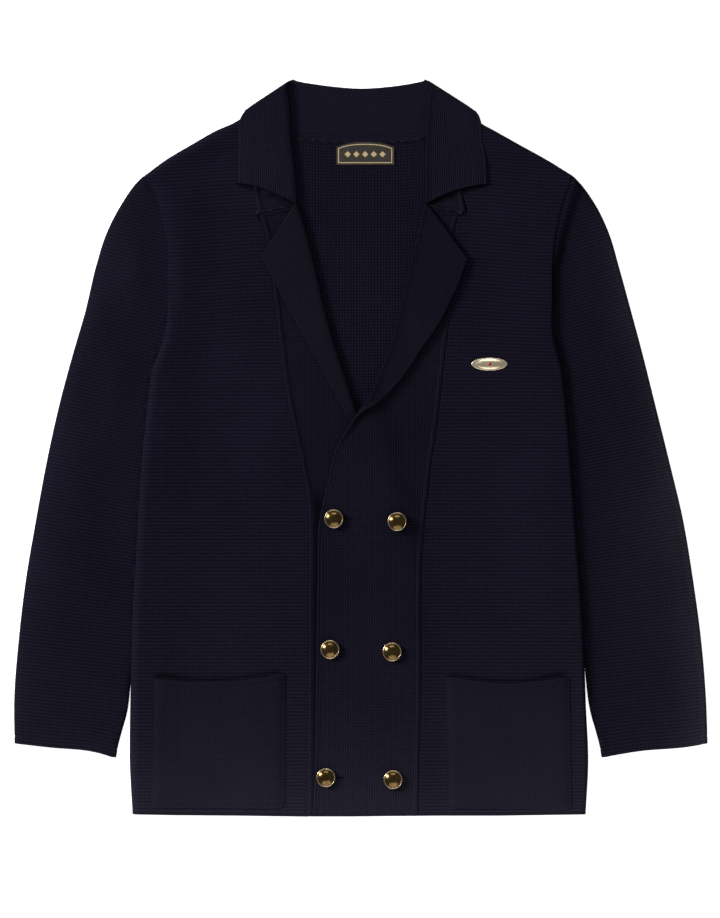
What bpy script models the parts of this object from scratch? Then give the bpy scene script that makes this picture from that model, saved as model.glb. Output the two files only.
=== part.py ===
"""A long-sleeved knitted jacket cardigan, buttoned and laid flat on its back.

Frame: metres, +Z up, +X towards the wearer's left, +Y from the hem to the neck. The tables are in
millimetres: x from the body's middle line, and height up from the hem's lowest point. The origin
is the middle of the whole outline, on the surface that the garment lies on.

Every piece is a closed wall of knit. A panel is a Coons grid between its four edges. The collar and
the bands are strips that run from their seam to a fold and turn back over themselves. A sleeve is a
flattened tube. What lies on another piece takes its height from the one below it.
"""

import math

import bmesh
import bpy
import numpy as np

MM = 0.001
WALL = 2.0  # thickness of the knit
SEAM = 0.35  # gap between two pieces that are sewn together
UNDERARM_GAP = 0.7  # what the sleeve's inner corner gives way to the body's
LAYER = 0.5  # gap between a panel and the one it lies on
FOLD = 1.0  # gap inside a turned collar, lapel or sleeve edge
SPRING, SPRING_SLOPE = 1.6, 0.045  # how far a collar leaf or lapel stands off, at most and per mm
RIB_WIDTH, RIB_HEIGHT = 5.0, 1.6  # the raised welt along a band or collar seam
EDGE_TURN = 1.5  # what is left of the lapel where the fold opens into the front edge
NECK_FALL = 90.0  # length over which the back comes down off the hidden collar leaf
BAND_FALL = 30.0  # length over which the over front comes down off the under front
MARGIN = 10.0  # how far past a hidden edge the piece above stays up
LAPEL_ROOM = 0.7  # what the under lapel's end needs above its own wall and fold
FRONT = WALL + LAYER  # height of a front's lower face where it lies on the flat back
TURN_RADIUS = (WALL + FOLD) / 2  # radius of a fold, to the middle of the wall
SHOULDER_RADIUS = (2 * WALL + FOLD + LAYER) / 2  # how far the collar's fold travels round the shoulder

KNIT = (0.0072, 0.0063, 0.0130)
POCKET_KNIT = (0.0105, 0.0093, 0.0180)
BRASS = (0.42, 0.30, 0.13)

# Side seams and armholes, from the hem to the shoulder tip.
#   height, wearer's right x, wearer's left x
SIDES = [
    (2.5, -245.5, 241.5),
    (60, -249, 244.5),
    (122, -249, 243),
    (170, -248, 241.5),
    (217, -247, 239.5),
    (294, -242.5, 234),
    (376, -237.5, 227),
    (438, -231.5, 221.5),
    (481, -226.5, 217.5),
]
ARMHOLES = [
    (481, -226.5, 217.5),
    (521, -212.5, 209.5),
    (558, -208, 208),
    (591, -208, 208),
    (616, -209, 210.5),
    (647, -215.4, 214.4),
    (663, -218.7, 218),
    (692, -234, 228.8),
]
# Shoulder seams, from the shoulder tip to the neck.
#   height, wearer's right x, wearer's left x
SHOULDERS = [
    (692, -234, 228.8),
    (708.5, -210, 200.3),
    (724.7, -183, 171.2),
    (741, -154, 142),
    (748.5, -138, 129.5),
    (766.8, -108.3, 104.7),
]
# The hem's lower edge, x and height.
HEM = [(-245.5, 2.5), (-200, 1.5), (-130, 1), (-56.7, 0), (0, 0), (57.8, 1), (150, 1), (241.5, 2.5)]

# The collar strip, a row for each section round the neck, from its end on the wearer's right.
#   seam x, seam height, fold x, fold height, leaf edge x, leaf edge height,
#   roll (0 with the leaf on top, 180 with the leaf underneath), bow of the leaf in the section
COLLAR = [
    (-113.2, 652.3, -68.5, 663.5, -132.3, 683.6, 0, 4.5),
    (-115.4, 676, -69.5, 683, -132.6, 704, 0, 1.5),
    (-118, 698, -71.5, 704, -132.2, 719, 0, 0),
    (-119, 720, -74.5, 728, -131.6, 731, 0, 0),
    (-117.5, 741, -76, 751, -131, 740, 0, 0),
    (-113.5, 756.5, -77, 772, -129, 749.5, 0, 0),
    (-108.3, 766.8, -77.5, 789.8, -122.7, 756.1, 0, 0),
    (-106, 768.5, -72, 793.9, -122, 756, 180, 0),
    (-96, 755, -62, 794.4, -112, 746, 180, 0),
    (-82, 741, -50, 792.2, -95, 735, 180, 0),
    (-67, 731, -38, 789.8, -74, 725.5, 180, 0),
    (-34, 727.6, -22, 787.4, -36, 722, 180, 0),
    (-1.6, 728.2, -1.6, 786.2, -1.6, 721.5, 180, 0),
    (32, 728, 20, 787.2, 34, 722, 180, 0),
    (64, 731, 35, 789.6, 72, 725.5, 180, 0),
    (80, 741, 46, 792, 93, 735, 180, 0),
    (94, 755, 56, 794.4, 108.5, 746, 180, 0),
    (104.6, 767.6, 66.2, 793.8, 122.5, 755.2, 180, 0),
    (104.7, 767.5, 72.9, 789.2, 123.2, 755.2, 0, 0),
    (111, 757, 72.2, 772, 128, 749.5, 0, 0),
    (114.5, 741, 71, 751, 130, 740, 0, 0),
    (115, 720, 69.8, 728, 131.5, 731, 0, 0),
    (113, 698, 69.4, 704, 134, 719, 0, 0),
    (111, 676, 69.2, 683, 135.5, 704, 0, 1.5),
    (112.5, 652.3, 69, 663.5, 136.6, 682.8, 0, 4.5),
]
SHOULDER_SECTIONS = 5  # sections of the collar between its front and its back at each shoulder

# The under band, on the wearer's right, a row for each section from the gorge to the hem.
#   seam x, seam height, roll line or front edge x, height, lapel edge x, height,
#   turn (180 where the lapel is folded over, 0 where the band is flat)
BAND_RIGHT = [
    (-110.5, 651.3, -68.4, 662.5, -108, 604.8, 180),
    (-105, 634, -62.5, 639, -98.5, 587.3, 180),
    (-99.5, 607, -53.5, 604, -83, 558.5, 180),
    (-94.8, 577, -43, 562, -68, 531, 180),
    (-88.5, 530, -33, 525, -51, 499.5, 180),
    (-81.9, 476.3, -18.5, 481, -30.5, 461.5, 180),
    (-73.8, 430, -3.8, 436.3, -9, 422, 180),
    (-67, 398, 7, 405, 5, 398, 180),
    (-63.3, 380, 12, 386, 12, 386, 60),
    (-60.5, 362, 18, 366, 18, 366, 0),
    (-57.3, 338, 26, 338, 26, 338, 0),
    (-56.7, 300, 35, 300, 35, 300, 0),
    (-58.1, 250, 42, 250, 42, 250, 0),
    (-59.5, 185, 45, 185, 45, 185, 0),
    (-60.3, 122, 46, 122, 46, 122, 0),
    (-60.5, 60, 47, 60, 47, 60, 0),
    (-60.5, 0.3, 48, 0.7, 48, 0.7, 0),
]
# The over band, on the wearer's left, with the same columns.
BAND_LEFT = [
    (107.5, 651.3, 68.9, 662.5, 115, 602.6, 180),
    (102.5, 634, 63.5, 639, 108.5, 583, 180),
    (100.1, 607, 55.5, 604, 97.5, 558.5, 180),
    (103, 570, 45.5, 565, 84, 532, 180),
    (97, 527, 36.5, 525, 66.5, 506.5, 180),
    (91.4, 478, 21.5, 482, 45, 474.4, 180),
    (87, 437, 8.5, 453, 22, 449.5, 180),
    (82, 410, -2.7, 437.8, 2, 433.5, 150),
    (77.3, 385, -10.8, 423.5, -10.8, 423.5, 60),
    (73.5, 355, -25.4, 400.7, -25.4, 400.7, 0),
    (69.8, 322, -37.3, 356, -37.3, 356, 0),
    (67.3, 285, -47, 315.5, -47, 315.5, 0),
    (65.7, 245, -49.3, 250, -49.3, 250, 0),
    (64.9, 185, -50.2, 185, -50.2, 185, 0),
    (64.1, 122, -50.7, 122, -50.7, 122, 0),
    (62.3, 60, -52.3, 60, -52.3, 60, 0),
    (60.3, 1, -54.2, 0.7, -54.2, 0.7, 0),
]

# Sleeve edges, from the armhole to the cuff: height and x of the outer and of the inner edge.
SLEEVE_RIGHT_OUTER = [
    (692, -234), (660, -260), (627.5, -275.8), (595, -286), (546.5, -297.5), (498, -311.6),
    (449, -324.5), (384.5, -338.6), (320, -350.5), (255, -361.3), (190, -368.8), (125, -373),
    (79, -373.1),
]
SLEEVE_RIGHT_INNER = [
    (481, -227.2), (438, -232.7), (376, -238.5), (294, -243.5), (217, -248), (150, -250.3),
    (109, -253.3), (92.9, -257.6), (76.7, -261.9), (63.7, -264.1),
]
SLEEVE_LEFT_OUTER = [
    (692, 228.8), (660, 253.8), (627.5, 269), (595, 278.5), (546.5, 291.8), (498, 304.8),
    (449, 317), (384.5, 333), (320, 348.2), (255, 359), (190, 367.7), (125, 373),
    (79, 374.6),
]
SLEEVE_LEFT_INNER = [
    (481, 218.2), (438, 222.7), (376, 228), (294, 235), (217, 240.5), (150, 244.5),
    (109, 248.9), (92.9, 253.3), (76.7, 257.6), (63.7, 259.7),
]
CUFF_RIGHT = [(79, -373.1), (74.5, -335), (70.5, -292), (63.7, -264.1)]
CUFF_LEFT = [(79, 374.6), (75.5, 355), (70.5, 300), (63.7, 259.7)]
SLEEVE_FADE = 7  # how soon the sleeve's sections straighten below the armhole
SLEEVE_CLOSER = 1.3  # how much closer its sections stand at the armhole
SLEEVE_CROWN = 2.2  # how far a sleeve's upper layer stands up along its middle
CROWN_ROUND = 0.5  # how soon the crown reaches its height from the armhole and from the cuff

# Patch pockets: the corners and the mouth's lowest point, x and height.
POCKETS = {
    "pocket_right": [(-223, 149), (-158, 145.3), (-81.5, 154), (-83.7, 9), (-226.8, 9)],
    "pocket_left": [(92.3, 151.5), (157, 143.6), (225.2, 150.5), (227.3, 7.5), (94.5, 9)],
}
POCKET_GAPE = 2.2  # how far a pocket's mouth stands off the front
POCKET_STIFFNESS = 4  # how soon the gape closes below the mouth

# Button centres, x and height, on the over band.
BUTTONS = [(-29.2, 321.8), (39.1, 318.8), (-33.3, 180.8), (33.7, 178.3), (-37.7, 42.6), (34.7, 40.5)]
BUTTON_RADIUS, DOME_RADIUS = 10.2, 8.6
RIM_HEIGHT, RIM_BEVEL, DOME_HEIGHT = 1.6, 0.7, 3.0
SHANK_RADIUS, SHANK_HEIGHT = 3.2, 1.4

# The woven label inside the back neck, with an arched top edge.
LABEL_MIDDLE, LABEL_WIDTH, LABEL_DROP, LABEL_ARCH = 6.5, 66.0, 25.5, 5.0
LABEL_TOP, LABEL_WALL = 726.8, 0.8

# The oval pin on the wearer's left breast: its sizes, and its sections as
#   share of the outline, share of the height
PIN_CENTRE, PIN_LENGTH, PIN_WIDTH, PIN_HEIGHT = (138.8, 488.7), 39.0, 14.0, 3.4
PIN_SECTIONS = [(1, 0), (1, 0.4), (0.8, 0.8), (0.45, 1)]

FINE_STEPS = 400  # steps in which a curve's length is measured
NEARLY_FLAT = 0.05  # the least turn of a fold, in radians
SHARP = 35.0  # degrees from which an edge is shaded sharp

# Grid rows and columns of the pieces.
ROWS_PER_ROW = 1.25  # for each row of a band's table
WELT_COLUMNS, FLAT_COLUMNS, TURN_COLUMNS, LEAF_COLUMNS = 3, 4, 4, 3  # across a band or the collar
SIDE_ROWS, ARM_ROWS, SHOULDER_COLUMNS, FRONT_COLUMNS = 8, 7, 4, 7
SLEEVE_ROWS = 14
POCKET_ROWS, POCKET_COLUMNS = 6, 8
LABEL_ROWS, LABEL_COLUMNS = 4, 8
BUTTON_POINTS, PIN_POINTS = 16, 24
CENTRE = (0.75, 397.55)  # middle of the whole outline, which is the frame's origin


def table(rows):
    return np.array(rows, dtype=float)


def hermite(knots, values, at):
    """Cubic pieces through the values at the knots, with the slope of a parabola at each knot."""
    slope = np.gradient(values, knots, axis=0)
    i = np.clip(np.searchsorted(knots, at, side="right") - 1, 0, len(knots) - 2)
    step = (knots[i + 1] - knots[i])[:, None]
    t = (at - knots[i])[:, None] / step
    return (
        (1 + 2 * t) * (1 - t) ** 2 * values[i]
        + t * (1 - t) ** 2 * step * slope[i]
        + t * t * (3 - 2 * t) * values[i + 1]
        + t * t * (t - 1) * step * slope[i + 1]
    )


def along(points):
    """Distance along a polyline, at each of its points."""
    return np.append(0, np.cumsum(np.linalg.norm(np.diff(points, axis=0), axis=1)))


def evenly(points, count, closer=1):
    """Points spread evenly along a smooth curve through the given (x, height) points. Closer over 1
    draws them towards its start."""
    points = table(points)
    knots = along(points)
    fine = hermite(knots, points, np.linspace(0, knots[-1], FINE_STEPS))
    length = along(fine)
    at = length[-1] * np.linspace(0, 1, count) ** closer
    return np.stack([np.interp(at, length, fine[:, axis]) for axis in (0, 1)], axis=1)


def patch(low, high, near, far, fade=1):
    """Coons grid: low and high run across, near and far run up from low to high. It is ruled from
    near to far, plus what low and high bend away from their chords. Fade over 1 drops the bend
    sooner."""
    u = np.linspace(0, 1, len(low))[None, :, None]
    v = np.linspace(0, 1, len(near))[:, None, None]
    ruled = (1 - u) * near[:, None] + u * far[:, None]
    low_bend = low - (1 - u) * low[0] - u * low[-1]
    high_bend = high - (1 - u) * high[0] - u * high[-1]
    return ruled + (1 - v) ** fade * low_bend + v**fade * high_bend


def distance_outside(points, outline):
    """Distance from each point to the outline, and 0 inside it. The last axis holds (x, height)."""
    start, end = outline, np.roll(outline, -1, axis=0)
    flat = points.reshape(-1, 1, 2)
    span = end - start
    squared = np.maximum((span**2).sum(-1), 1e-9)
    share = np.clip(((flat - start) * span).sum(-1) / squared, 0, 1)
    away = np.linalg.norm(flat - start - share[..., None] * span, axis=-1).min(axis=1)
    x, height = flat[..., 0], flat[..., 1]
    crosses = (start[:, 1] > height) != (end[:, 1] > height)
    rise = np.where(span[:, 1] == 0, 1, span[:, 1])
    hit = start[:, 0] + (height - start[:, 1]) / rise * span[:, 0]
    inside = (crosses & (x < hit)).sum(axis=1) % 2 == 1
    return np.where(inside, 0, away).reshape(points.shape[:-1])


def lift(points, outline, rise, fall):
    """Height that cloth gains over a hidden layer: the full rise to MARGIN past its outline, then a
    half wave of a cosine down to nothing."""
    share = np.clip((distance_outside(points, outline) - MARGIN) / fall, 0, 1)
    return rise * (1 + np.cos(math.pi * share)) / 2


def back_height(points):
    """Lower face of the back, which the collar's hidden leaf and stand carry near the neck."""
    turned = table(COLLAR)[:, 6] == 180
    leaf = table(COLLAR)[turned, 4:6]
    top = table(COLLAR)[turned, 2:4][::-1]
    return lift(points, np.vstack([leaf, top]), WALL + FOLD, NECK_FALL)


def front_height(points):
    """Lower face of a front that lies on the back."""
    return back_height(points) + FRONT


def over_front_height(points):
    """Lower face of the wearer's left front, which lies on the other front's band and lapel."""
    rows = table(BAND_RIGHT)
    band = np.vstack([rows[:, 0:2], rows[::-1, 2:4]])
    folded = rows[:, 6] > 0
    folded[1:] |= folded[:-1]
    lapel = np.vstack([rows[folded, 2:4], rows[folded, 4:6][::-1]])
    over_band = lift(points, band, WALL + LAYER, BAND_FALL)
    return front_height(points) + over_band + lift(points, lapel, WALL + FOLD + LAPEL_ROOM, BAND_FALL)


def material(name, colour, roughness, metallic=0.0):
    made = bpy.data.materials.new(name)
    made.use_nodes = True
    shader = made.node_tree.nodes["Principled BSDF"]
    shader.inputs["Base Color"].default_value = (*colour, 1)
    shader.inputs["Roughness"].default_value = roughness
    shader.inputs["Metallic"].default_value = metallic
    return made


def place(points):
    """Garment millimetres to the frame's metres."""
    return (points - [*CENTRE, 0]) * MM


def make(name, points, faces, finish):
    mesh = bpy.data.meshes.new(name)
    mesh.from_pydata(place(points).tolist(), [], faces)
    outwards = bmesh.new()
    outwards.from_mesh(mesh)
    bmesh.ops.recalc_face_normals(outwards, faces=outwards.faces)
    outwards.to_mesh(mesh)
    outwards.free()
    mesh.shade_smooth()
    mesh.set_sharp_from_angle(angle=math.radians(SHARP))
    mesh.materials.append(finish)
    obj = bpy.data.objects.new(name, mesh)
    bpy.context.scene.collection.objects.link(obj)
    return obj


def shell(name, outer, inner, finish, around=False):
    """A closed wall between two skins of the same grid. Around closes the columns into a tube."""
    rows, columns = outer.shape[:2]
    points = np.vstack([outer.reshape(-1, 3), inner.reshape(-1, 3)])
    number = np.arange(rows * columns).reshape(rows, columns)
    if around:
        number = np.hstack([number, number[:, :1]])
    within = rows * columns
    lower_left, lower_right = number[:-1, :-1], number[:-1, 1:]
    upper_left, upper_right = number[1:, :-1], number[1:, 1:]
    outside = np.stack([lower_left, lower_right, upper_right, upper_left], axis=-1).reshape(-1, 4)
    faces = [outside, outside[:, ::-1] + within]
    rims = [number[0], number[-1, ::-1]]
    if not around:
        rims += [number[::-1, 0], number[:, -1]]
    for rim in rims:
        here, there = rim[:-1], rim[1:]
        faces.append(np.stack([there, here, here + within, there + within], axis=-1))
    return make(name, points, np.vstack(faces).tolist(), finish)


def panel(name, plan, height, finish, wall=WALL):
    """A panel's two skins, one wall apart, on its plan."""
    lower = np.dstack([plan, height])
    return shell(name, lower + [0, 0, wall], lower, finish)


def flat_columns():
    """Distances from the seam, in the welt and then as shares of what is left of the flat part."""
    welt = np.linspace(0, RIB_WIDTH, WELT_COLUMNS + 1)
    shares = np.linspace(0, 1, FLAT_COLUMNS + 1)[1:]
    return welt, shares


def strip(name, rows, height, finish):
    """A strip of knit with a fold, a section for each row: the flat part from the seam to the fold,
    the turn round the fold, and the leaf that lies back over the flat part.

    In a section, d runs from the fold's centre to the seam and b from the flat part to the leaf.
    Skins lie half a wall to each side of the middle line. Roll tips b over from up to down, round
    the shoulder. A turn under 180 opens the fold."""
    seam, fold, leaf = rows[:, 0:2], rows[:, 2:4], rows[:, 4:6]
    roll, bow, turn = (np.radians(rows[:, 6]), rows[:, 7], np.radians(rows[:, 8]))
    inward = seam - fold
    inward /= np.linalg.norm(inward, axis=1)[:, None]
    outward = inward[:, ::-1] * [-1, 1]
    outward *= np.where(outward[:, 1:] < 0, -1, 1)
    turn = np.maximum(turn, NEARLY_FLAT)
    radius = TURN_RADIUS * math.pi / turn
    steps = np.linspace(0, 1, TURN_COLUMNS + 1)[None] * turn[:, None]
    reach = (radius[:, None] * np.sin(np.minimum(steps, math.pi / 2))).max(axis=1)
    reach += np.where(turn < math.pi / 2, EDGE_TURN * np.cos(turn), WALL / 2)
    centre = fold + inward * reach[:, None]
    length = np.linalg.norm(seam - centre, axis=1)
    welt, shares = flat_columns()
    flat = np.hstack([
        length[:, None] - welt,
        (length[:, None] - RIB_WIDTH) * (1 - shares),
    ])
    to_leaf = leaf - centre
    span = np.linalg.norm(to_leaf, axis=1)
    opened = (turn < math.pi) | (span < EDGE_TURN)
    to_leaf = np.where(opened[:, None], inward, to_leaf / np.maximum(span, 1e-6)[:, None])
    span = np.where(opened, EDGE_TURN, span)
    share = np.linspace(0, 1, LEAF_COLUMNS + 1)[None, 1:]
    skins = []
    for side in (1, -1):  # away from the fold's centre, then towards it
        half = side * WALL / 2
        rib = RIB_HEIGHT * np.sin(math.pi * np.clip(welt / RIB_WIDTH, 0, 1)) if side < 0 else 0 * welt
        flat_b = np.full_like(flat, -TURN_RADIUS - half)
        flat_b[:, : len(welt)] += rib
        turn_d = -(radius[:, None] + half) * np.sin(steps)
        turn_b = -TURN_RADIUS + radius[:, None] - (radius[:, None] + half) * np.cos(steps)
        leaf_d = turn_d[:, -1:] - np.cos(turn)[:, None] * share * span[:, None]
        spring = np.minimum(SPRING, SPRING_SLOPE * span) * (1 + np.cos(roll)) / 2 * (turn >= math.pi)
        leaf_b = turn_b[:, -1:] + np.sin(turn)[:, None] * share * span[:, None]
        leaf_b += spring[:, None] * share
        bowed = (bow[:, None] * 4 * share * (1 - share))[..., None] * [0, 1]
        plan = np.concatenate([
            centre[:, None] + inward[:, None] * flat[..., None],
            centre[:, None] + inward[:, None] * turn_d[:, 1:, None],
            centre[:, None] + to_leaf[:, None] * leaf_d[..., None] + bowed,
        ], axis=1)
        b = np.hstack([flat_b, turn_b[:, 1:], leaf_b])
        on_top = (1 + np.cos(roll))[:, None] / 2
        level = on_top * (height(plan) + WALL / 2 + TURN_RADIUS)
        level += (1 - on_top) * (WALL / 2 + TURN_RADIUS)
        plan = plan + (b * np.sin(roll)[:, None])[..., None] * outward[:, None]
        skins.append(np.dstack([plan, level + b * np.cos(roll)[:, None]]))
    return shell(name, *skins, finish)


def band_rows(rows):
    """The band's table, read at its grid rows, with the columns that strip() takes."""
    rows = table(rows)
    rows = np.hstack([rows[:, :6], np.zeros((len(rows), 2)), rows[:, 6:]])
    knots = along(rows[:, 0:4])
    count = round(len(rows) * ROWS_PER_ROW)
    at = np.interp(np.linspace(0, len(rows) - 1, count), np.arange(len(rows)), knots)
    read = hermite(knots, rows, at)
    read[:, 8] = np.interp(at, knots, rows[:, 8])
    return read


def collar_rows():
    """The collar's table with the sections that carry its fold round each shoulder: they stand
    half a wave of a sine further out than the two rows that they join."""
    rows = table(COLLAR)
    read = [rows[:1]]
    for here, there in zip(rows[:-1], rows[1:]):
        if here[6] != there[6]:
            share = np.linspace(0, 1, SHOULDER_SECTIONS + 2)[1:-1, None]
            between = (1 - share) * here + share * there
            along_section = between[:, 0:2] - between[:, 2:4]
            outward = along_section[:, ::-1] * [-1, 1]
            outward *= np.where(outward[:, 1:] < 0, -1, 1)
            outward /= np.linalg.norm(outward, axis=1)[:, None]
            out = outward * SHOULDER_RADIUS * np.sin(math.pi * share)
            between[:, 0:6] += np.hstack([out, out, out])
            read.append(between)
        read.append(there[None])
    rows = np.vstack(read)
    return np.hstack([rows, np.full((len(rows), 1), 180.0)])


def sleeve(name, outer, inner, cuff, armhole, finish):
    """A flattened tube. Its plan is a Coons grid from the armhole to the cuff. Round each section
    run the outer turn, the upper layer, the inner turn and the lower layer."""
    length = SLEEVE_ROWS + 1
    outer_edge, inner_edge = evenly(outer, length, SLEEVE_CLOSER), evenly(inner, length, SLEEVE_CLOSER)
    outer_edge[0], inner_edge[0] = armhole[0], armhole[-1]
    plan = patch(armhole, evenly(cuff, len(armhole)), outer_edge, inner_edge, SLEEVE_FADE)
    middle = WALL + LAYER / 2
    turn = np.linspace(0, math.pi, TURN_COLUMNS + 1)
    crown = SLEEVE_CROWN * np.sin(math.pi * np.linspace(0, 1, length)) ** CROWN_ROUND
    out = plan[:, 1] - plan[:, 0]
    back = plan[:, -2] - plan[:, -1]
    out /= np.linalg.norm(out, axis=1)[:, None]
    back /= np.linalg.norm(back, axis=1)[:, None]
    across = np.sin(math.pi * np.linspace(0, 1, len(armhole)))[1:-1]
    skins = []
    for radius in (middle, middle - WALL):
        first = plan[:, :1] + out[:, None] * (middle - radius * np.sin(turn))[None, :, None]
        last = plan[:, -1:] + back[:, None] * (middle - radius * np.sin(turn))[None, :, None]
        upper = middle + radius + crown[:, None] * across
        lower = np.full_like(upper, middle - radius)
        around = np.broadcast_to(middle - radius * np.cos(turn), (length, len(turn)))
        skins.append(np.concatenate([
            np.dstack([first, around]),
            np.dstack([plan[:, 1:-1], upper]),
            np.dstack([last, around[:, ::-1]]),
            np.dstack([plan[:, -2:0:-1], lower]),
        ], axis=1))
    return shell(name, *skins, finish, around=True)


def ring(segments):
    """Points of a unit circle."""
    turn = np.linspace(0, 2 * math.pi, segments, endpoint=False)
    return np.stack([np.cos(turn), np.sin(turn)], axis=1)


def lathe(name, profile, centre, finish, outline=None):
    """A solid on a vertical axis from a profile of (radius, height), both ends on the axis. An
    outline in place of the circle is scaled by the profile's radii."""
    circle = ring(BUTTON_POINTS) if outline is None else outline
    count = len(circle)
    rings = [np.hstack([centre + radius * circle, np.full((count, 1), z)]) for radius, z in profile[1:-1]]
    ends = np.hstack([np.resize(centre, (2, 2)), [[profile[0][1]], [profile[-1][1]]]])
    bottom, top = len(rings) * count, len(rings) * count + 1
    here = np.arange(count)
    there = np.roll(here, -1)
    faces = []
    for low in range(0, (len(rings) - 1) * count, count):
        high = low + count
        faces += np.stack([here + low, there + low, there + high, here + high], axis=1).tolist()
    last = (len(rings) - 1) * count
    faces += np.stack([np.full(count, bottom), there, here], axis=1).tolist()
    faces += np.stack([np.full(count, top), here + last, there + last], axis=1).tolist()
    return make(name, np.vstack([*rings, ends]), faces, finish)


def make_body(knit):
    """The back and the two fronts, whose edges take the sections of the collar and the bands."""
    sides, armholes, shoulders = table(SIDES), table(ARMHOLES), table(SHOULDERS)
    collar = collar_rows()
    on_top = np.flatnonzero(collar[:, 6] == 0)
    underneath = np.flatnonzero(collar[:, 6] == 180)
    edges = {}
    for side, column in (("right", 1), ("left", 2)):
        edges[side] = {
            "side": evenly(sides[:, [column, 0]], SIDE_ROWS + 1),
            "arm": evenly(armholes[:, [column, 0]], ARM_ROWS + 1),
            "shoulder": evenly(shoulders[:, [column, 0]], SHOULDER_COLUMNS + 1),
        }
    hem = table(HEM)

    neck = collar[underneath, 0:2] - [0, SEAM]
    near = np.vstack([edges["right"]["side"], edges["right"]["arm"][1:]])
    far = np.vstack([edges["left"]["side"], edges["left"]["arm"][1:]])
    high = np.vstack([
        edges["right"]["shoulder"][:-1],
        neck,
        edges["left"]["shoulder"][-2::-1],
    ])
    across = np.linspace(hem[0, 0], hem[-1, 0], len(high))
    low = np.stack([across, hermite(hem[:, 0], hem[:, 1:], across)[:, 0]], axis=1)
    plan = patch(low, high, near, far)
    panel("back", plan, back_height(plan), knit)

    for side, band, sign in (("right", BAND_RIGHT, -1), ("left", BAND_LEFT, 1)):
        rows = band_rows(band)
        ridge = rows[::-1, 0:2]
        neck_side = collar[on_top, 0:2]
        neck_side = neck_side[neck_side[:, 0] * sign > 0]
        neck_side = neck_side[np.argsort(neck_side[:, 1])]
        inner = np.vstack([ridge, neck_side]) + [sign * SEAM, 0]
        count = len(inner)
        arm = edges[side]["arm"]
        outer = np.vstack([evenly(edges[side]["side"], count - len(arm) + 1), arm[1:]])
        top = edges[side]["shoulder"]
        top = np.vstack([evenly(top, FRONT_COLUMNS + 1)[:-1], inner[-1]])
        bottom_x = np.linspace(outer[0, 0], inner[0, 0], FRONT_COLUMNS + 1)
        bottom = np.stack([bottom_x, hermite(hem[:, 0], hem[:, 1:], bottom_x)[:, 0]], axis=1)
        bottom[0], bottom[-1] = outer[0], inner[0]
        plan = patch(bottom, top, outer, inner)
        height = front_height if side == "right" else over_front_height
        panel(f"front_{side}", plan, height(plan), knit)
    return edges


def make_pockets(finish):
    """Patch pockets, whose mouths stand off the fronts."""
    for name, corners in POCKETS.items():
        left, low, right, right_foot, left_foot = table(corners)
        mouth = evenly([left, low, right], POCKET_COLUMNS + 1)
        foot = np.linspace(left_foot, right_foot, POCKET_COLUMNS + 1)
        up = np.linspace(0, 1, POCKET_ROWS + 1)[:, None]
        plan = patch(foot, mouth, left_foot + up * (left - left_foot), right_foot + up * (right - right_foot))
        height = front_height if name.endswith("right") else over_front_height
        across = np.sin(math.pi * np.linspace(0, 1, POCKET_COLUMNS + 1))[None]
        gape = POCKET_GAPE * up**POCKET_STIFFNESS * across
        panel(name, plan, height(plan) + WALL + SEAM + gape, finish)


def make_buttons(finish):
    """Domed buttons with a bevelled rim, each on its shank."""
    for number, centre in enumerate(table(BUTTONS), start=1):
        base = over_front_height(centre + ring(BUTTON_POINTS) * BUTTON_RADIUS).max() + WALL + LAYER
        rim = base + SHANK_HEIGHT
        shoulder = rim + RIM_HEIGHT
        inner_rim = BUTTON_RADIUS - RIM_BEVEL
        profile = [(0, base), (SHANK_RADIUS, base), (SHANK_RADIUS, rim), (inner_rim, rim)]
        profile += [(BUTTON_RADIUS, rim + RIM_BEVEL), (BUTTON_RADIUS, shoulder - RIM_BEVEL)]
        profile += [(inner_rim, shoulder)]
        for rise in np.linspace(0, math.pi / 2, 5)[1:-1]:
            profile.append((DOME_RADIUS * math.cos(rise), shoulder + DOME_HEIGHT * math.sin(rise)))
        profile += [(0, shoulder + DOME_HEIGHT)]
        lathe(f"button_{number}", profile, centre, finish)


def make_label(finish):
    """The label lies on the back's inner face."""
    share = np.linspace(-1, 1, LABEL_COLUMNS + 1)
    x = LABEL_MIDDLE + share * LABEL_WIDTH / 2
    top = np.stack([x, LABEL_TOP - LABEL_ARCH * share**2], axis=1)
    foot = np.stack([x, np.full_like(x, LABEL_TOP - LABEL_DROP)], axis=1)
    up = np.linspace(0, 1, LABEL_ROWS + 1)[:, None]
    plan = patch(foot, top, foot[0] + up * (top[0] - foot[0]), foot[-1] + up * (top[-1] - foot[-1]))
    panel("neck_label", plan, back_height(plan) + WALL + SEAM, finish, LABEL_WALL)


def make_pin(finish):
    """A low oval boss on the left front."""
    centre = table([PIN_CENTRE])
    base = over_front_height(centre)[0] + WALL + SEAM
    oval = ring(PIN_POINTS) * [PIN_LENGTH / 2, PIN_WIDTH / 2]
    profile = [(0, base)] + [(share, base + PIN_HEIGHT * rise) for share, rise in PIN_SECTIONS]
    profile += [(0, base + PIN_HEIGHT)]
    lathe("chest_pin", profile, centre, finish, oval)


for leftover in list(bpy.data.objects):
    bpy.data.objects.remove(leftover)

knit = material("knit", KNIT, 0.9)
pocket_knit = material("pocket_knit", POCKET_KNIT, 0.9)
brass = material("brass", BRASS, 0.35, 1.0)

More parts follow.
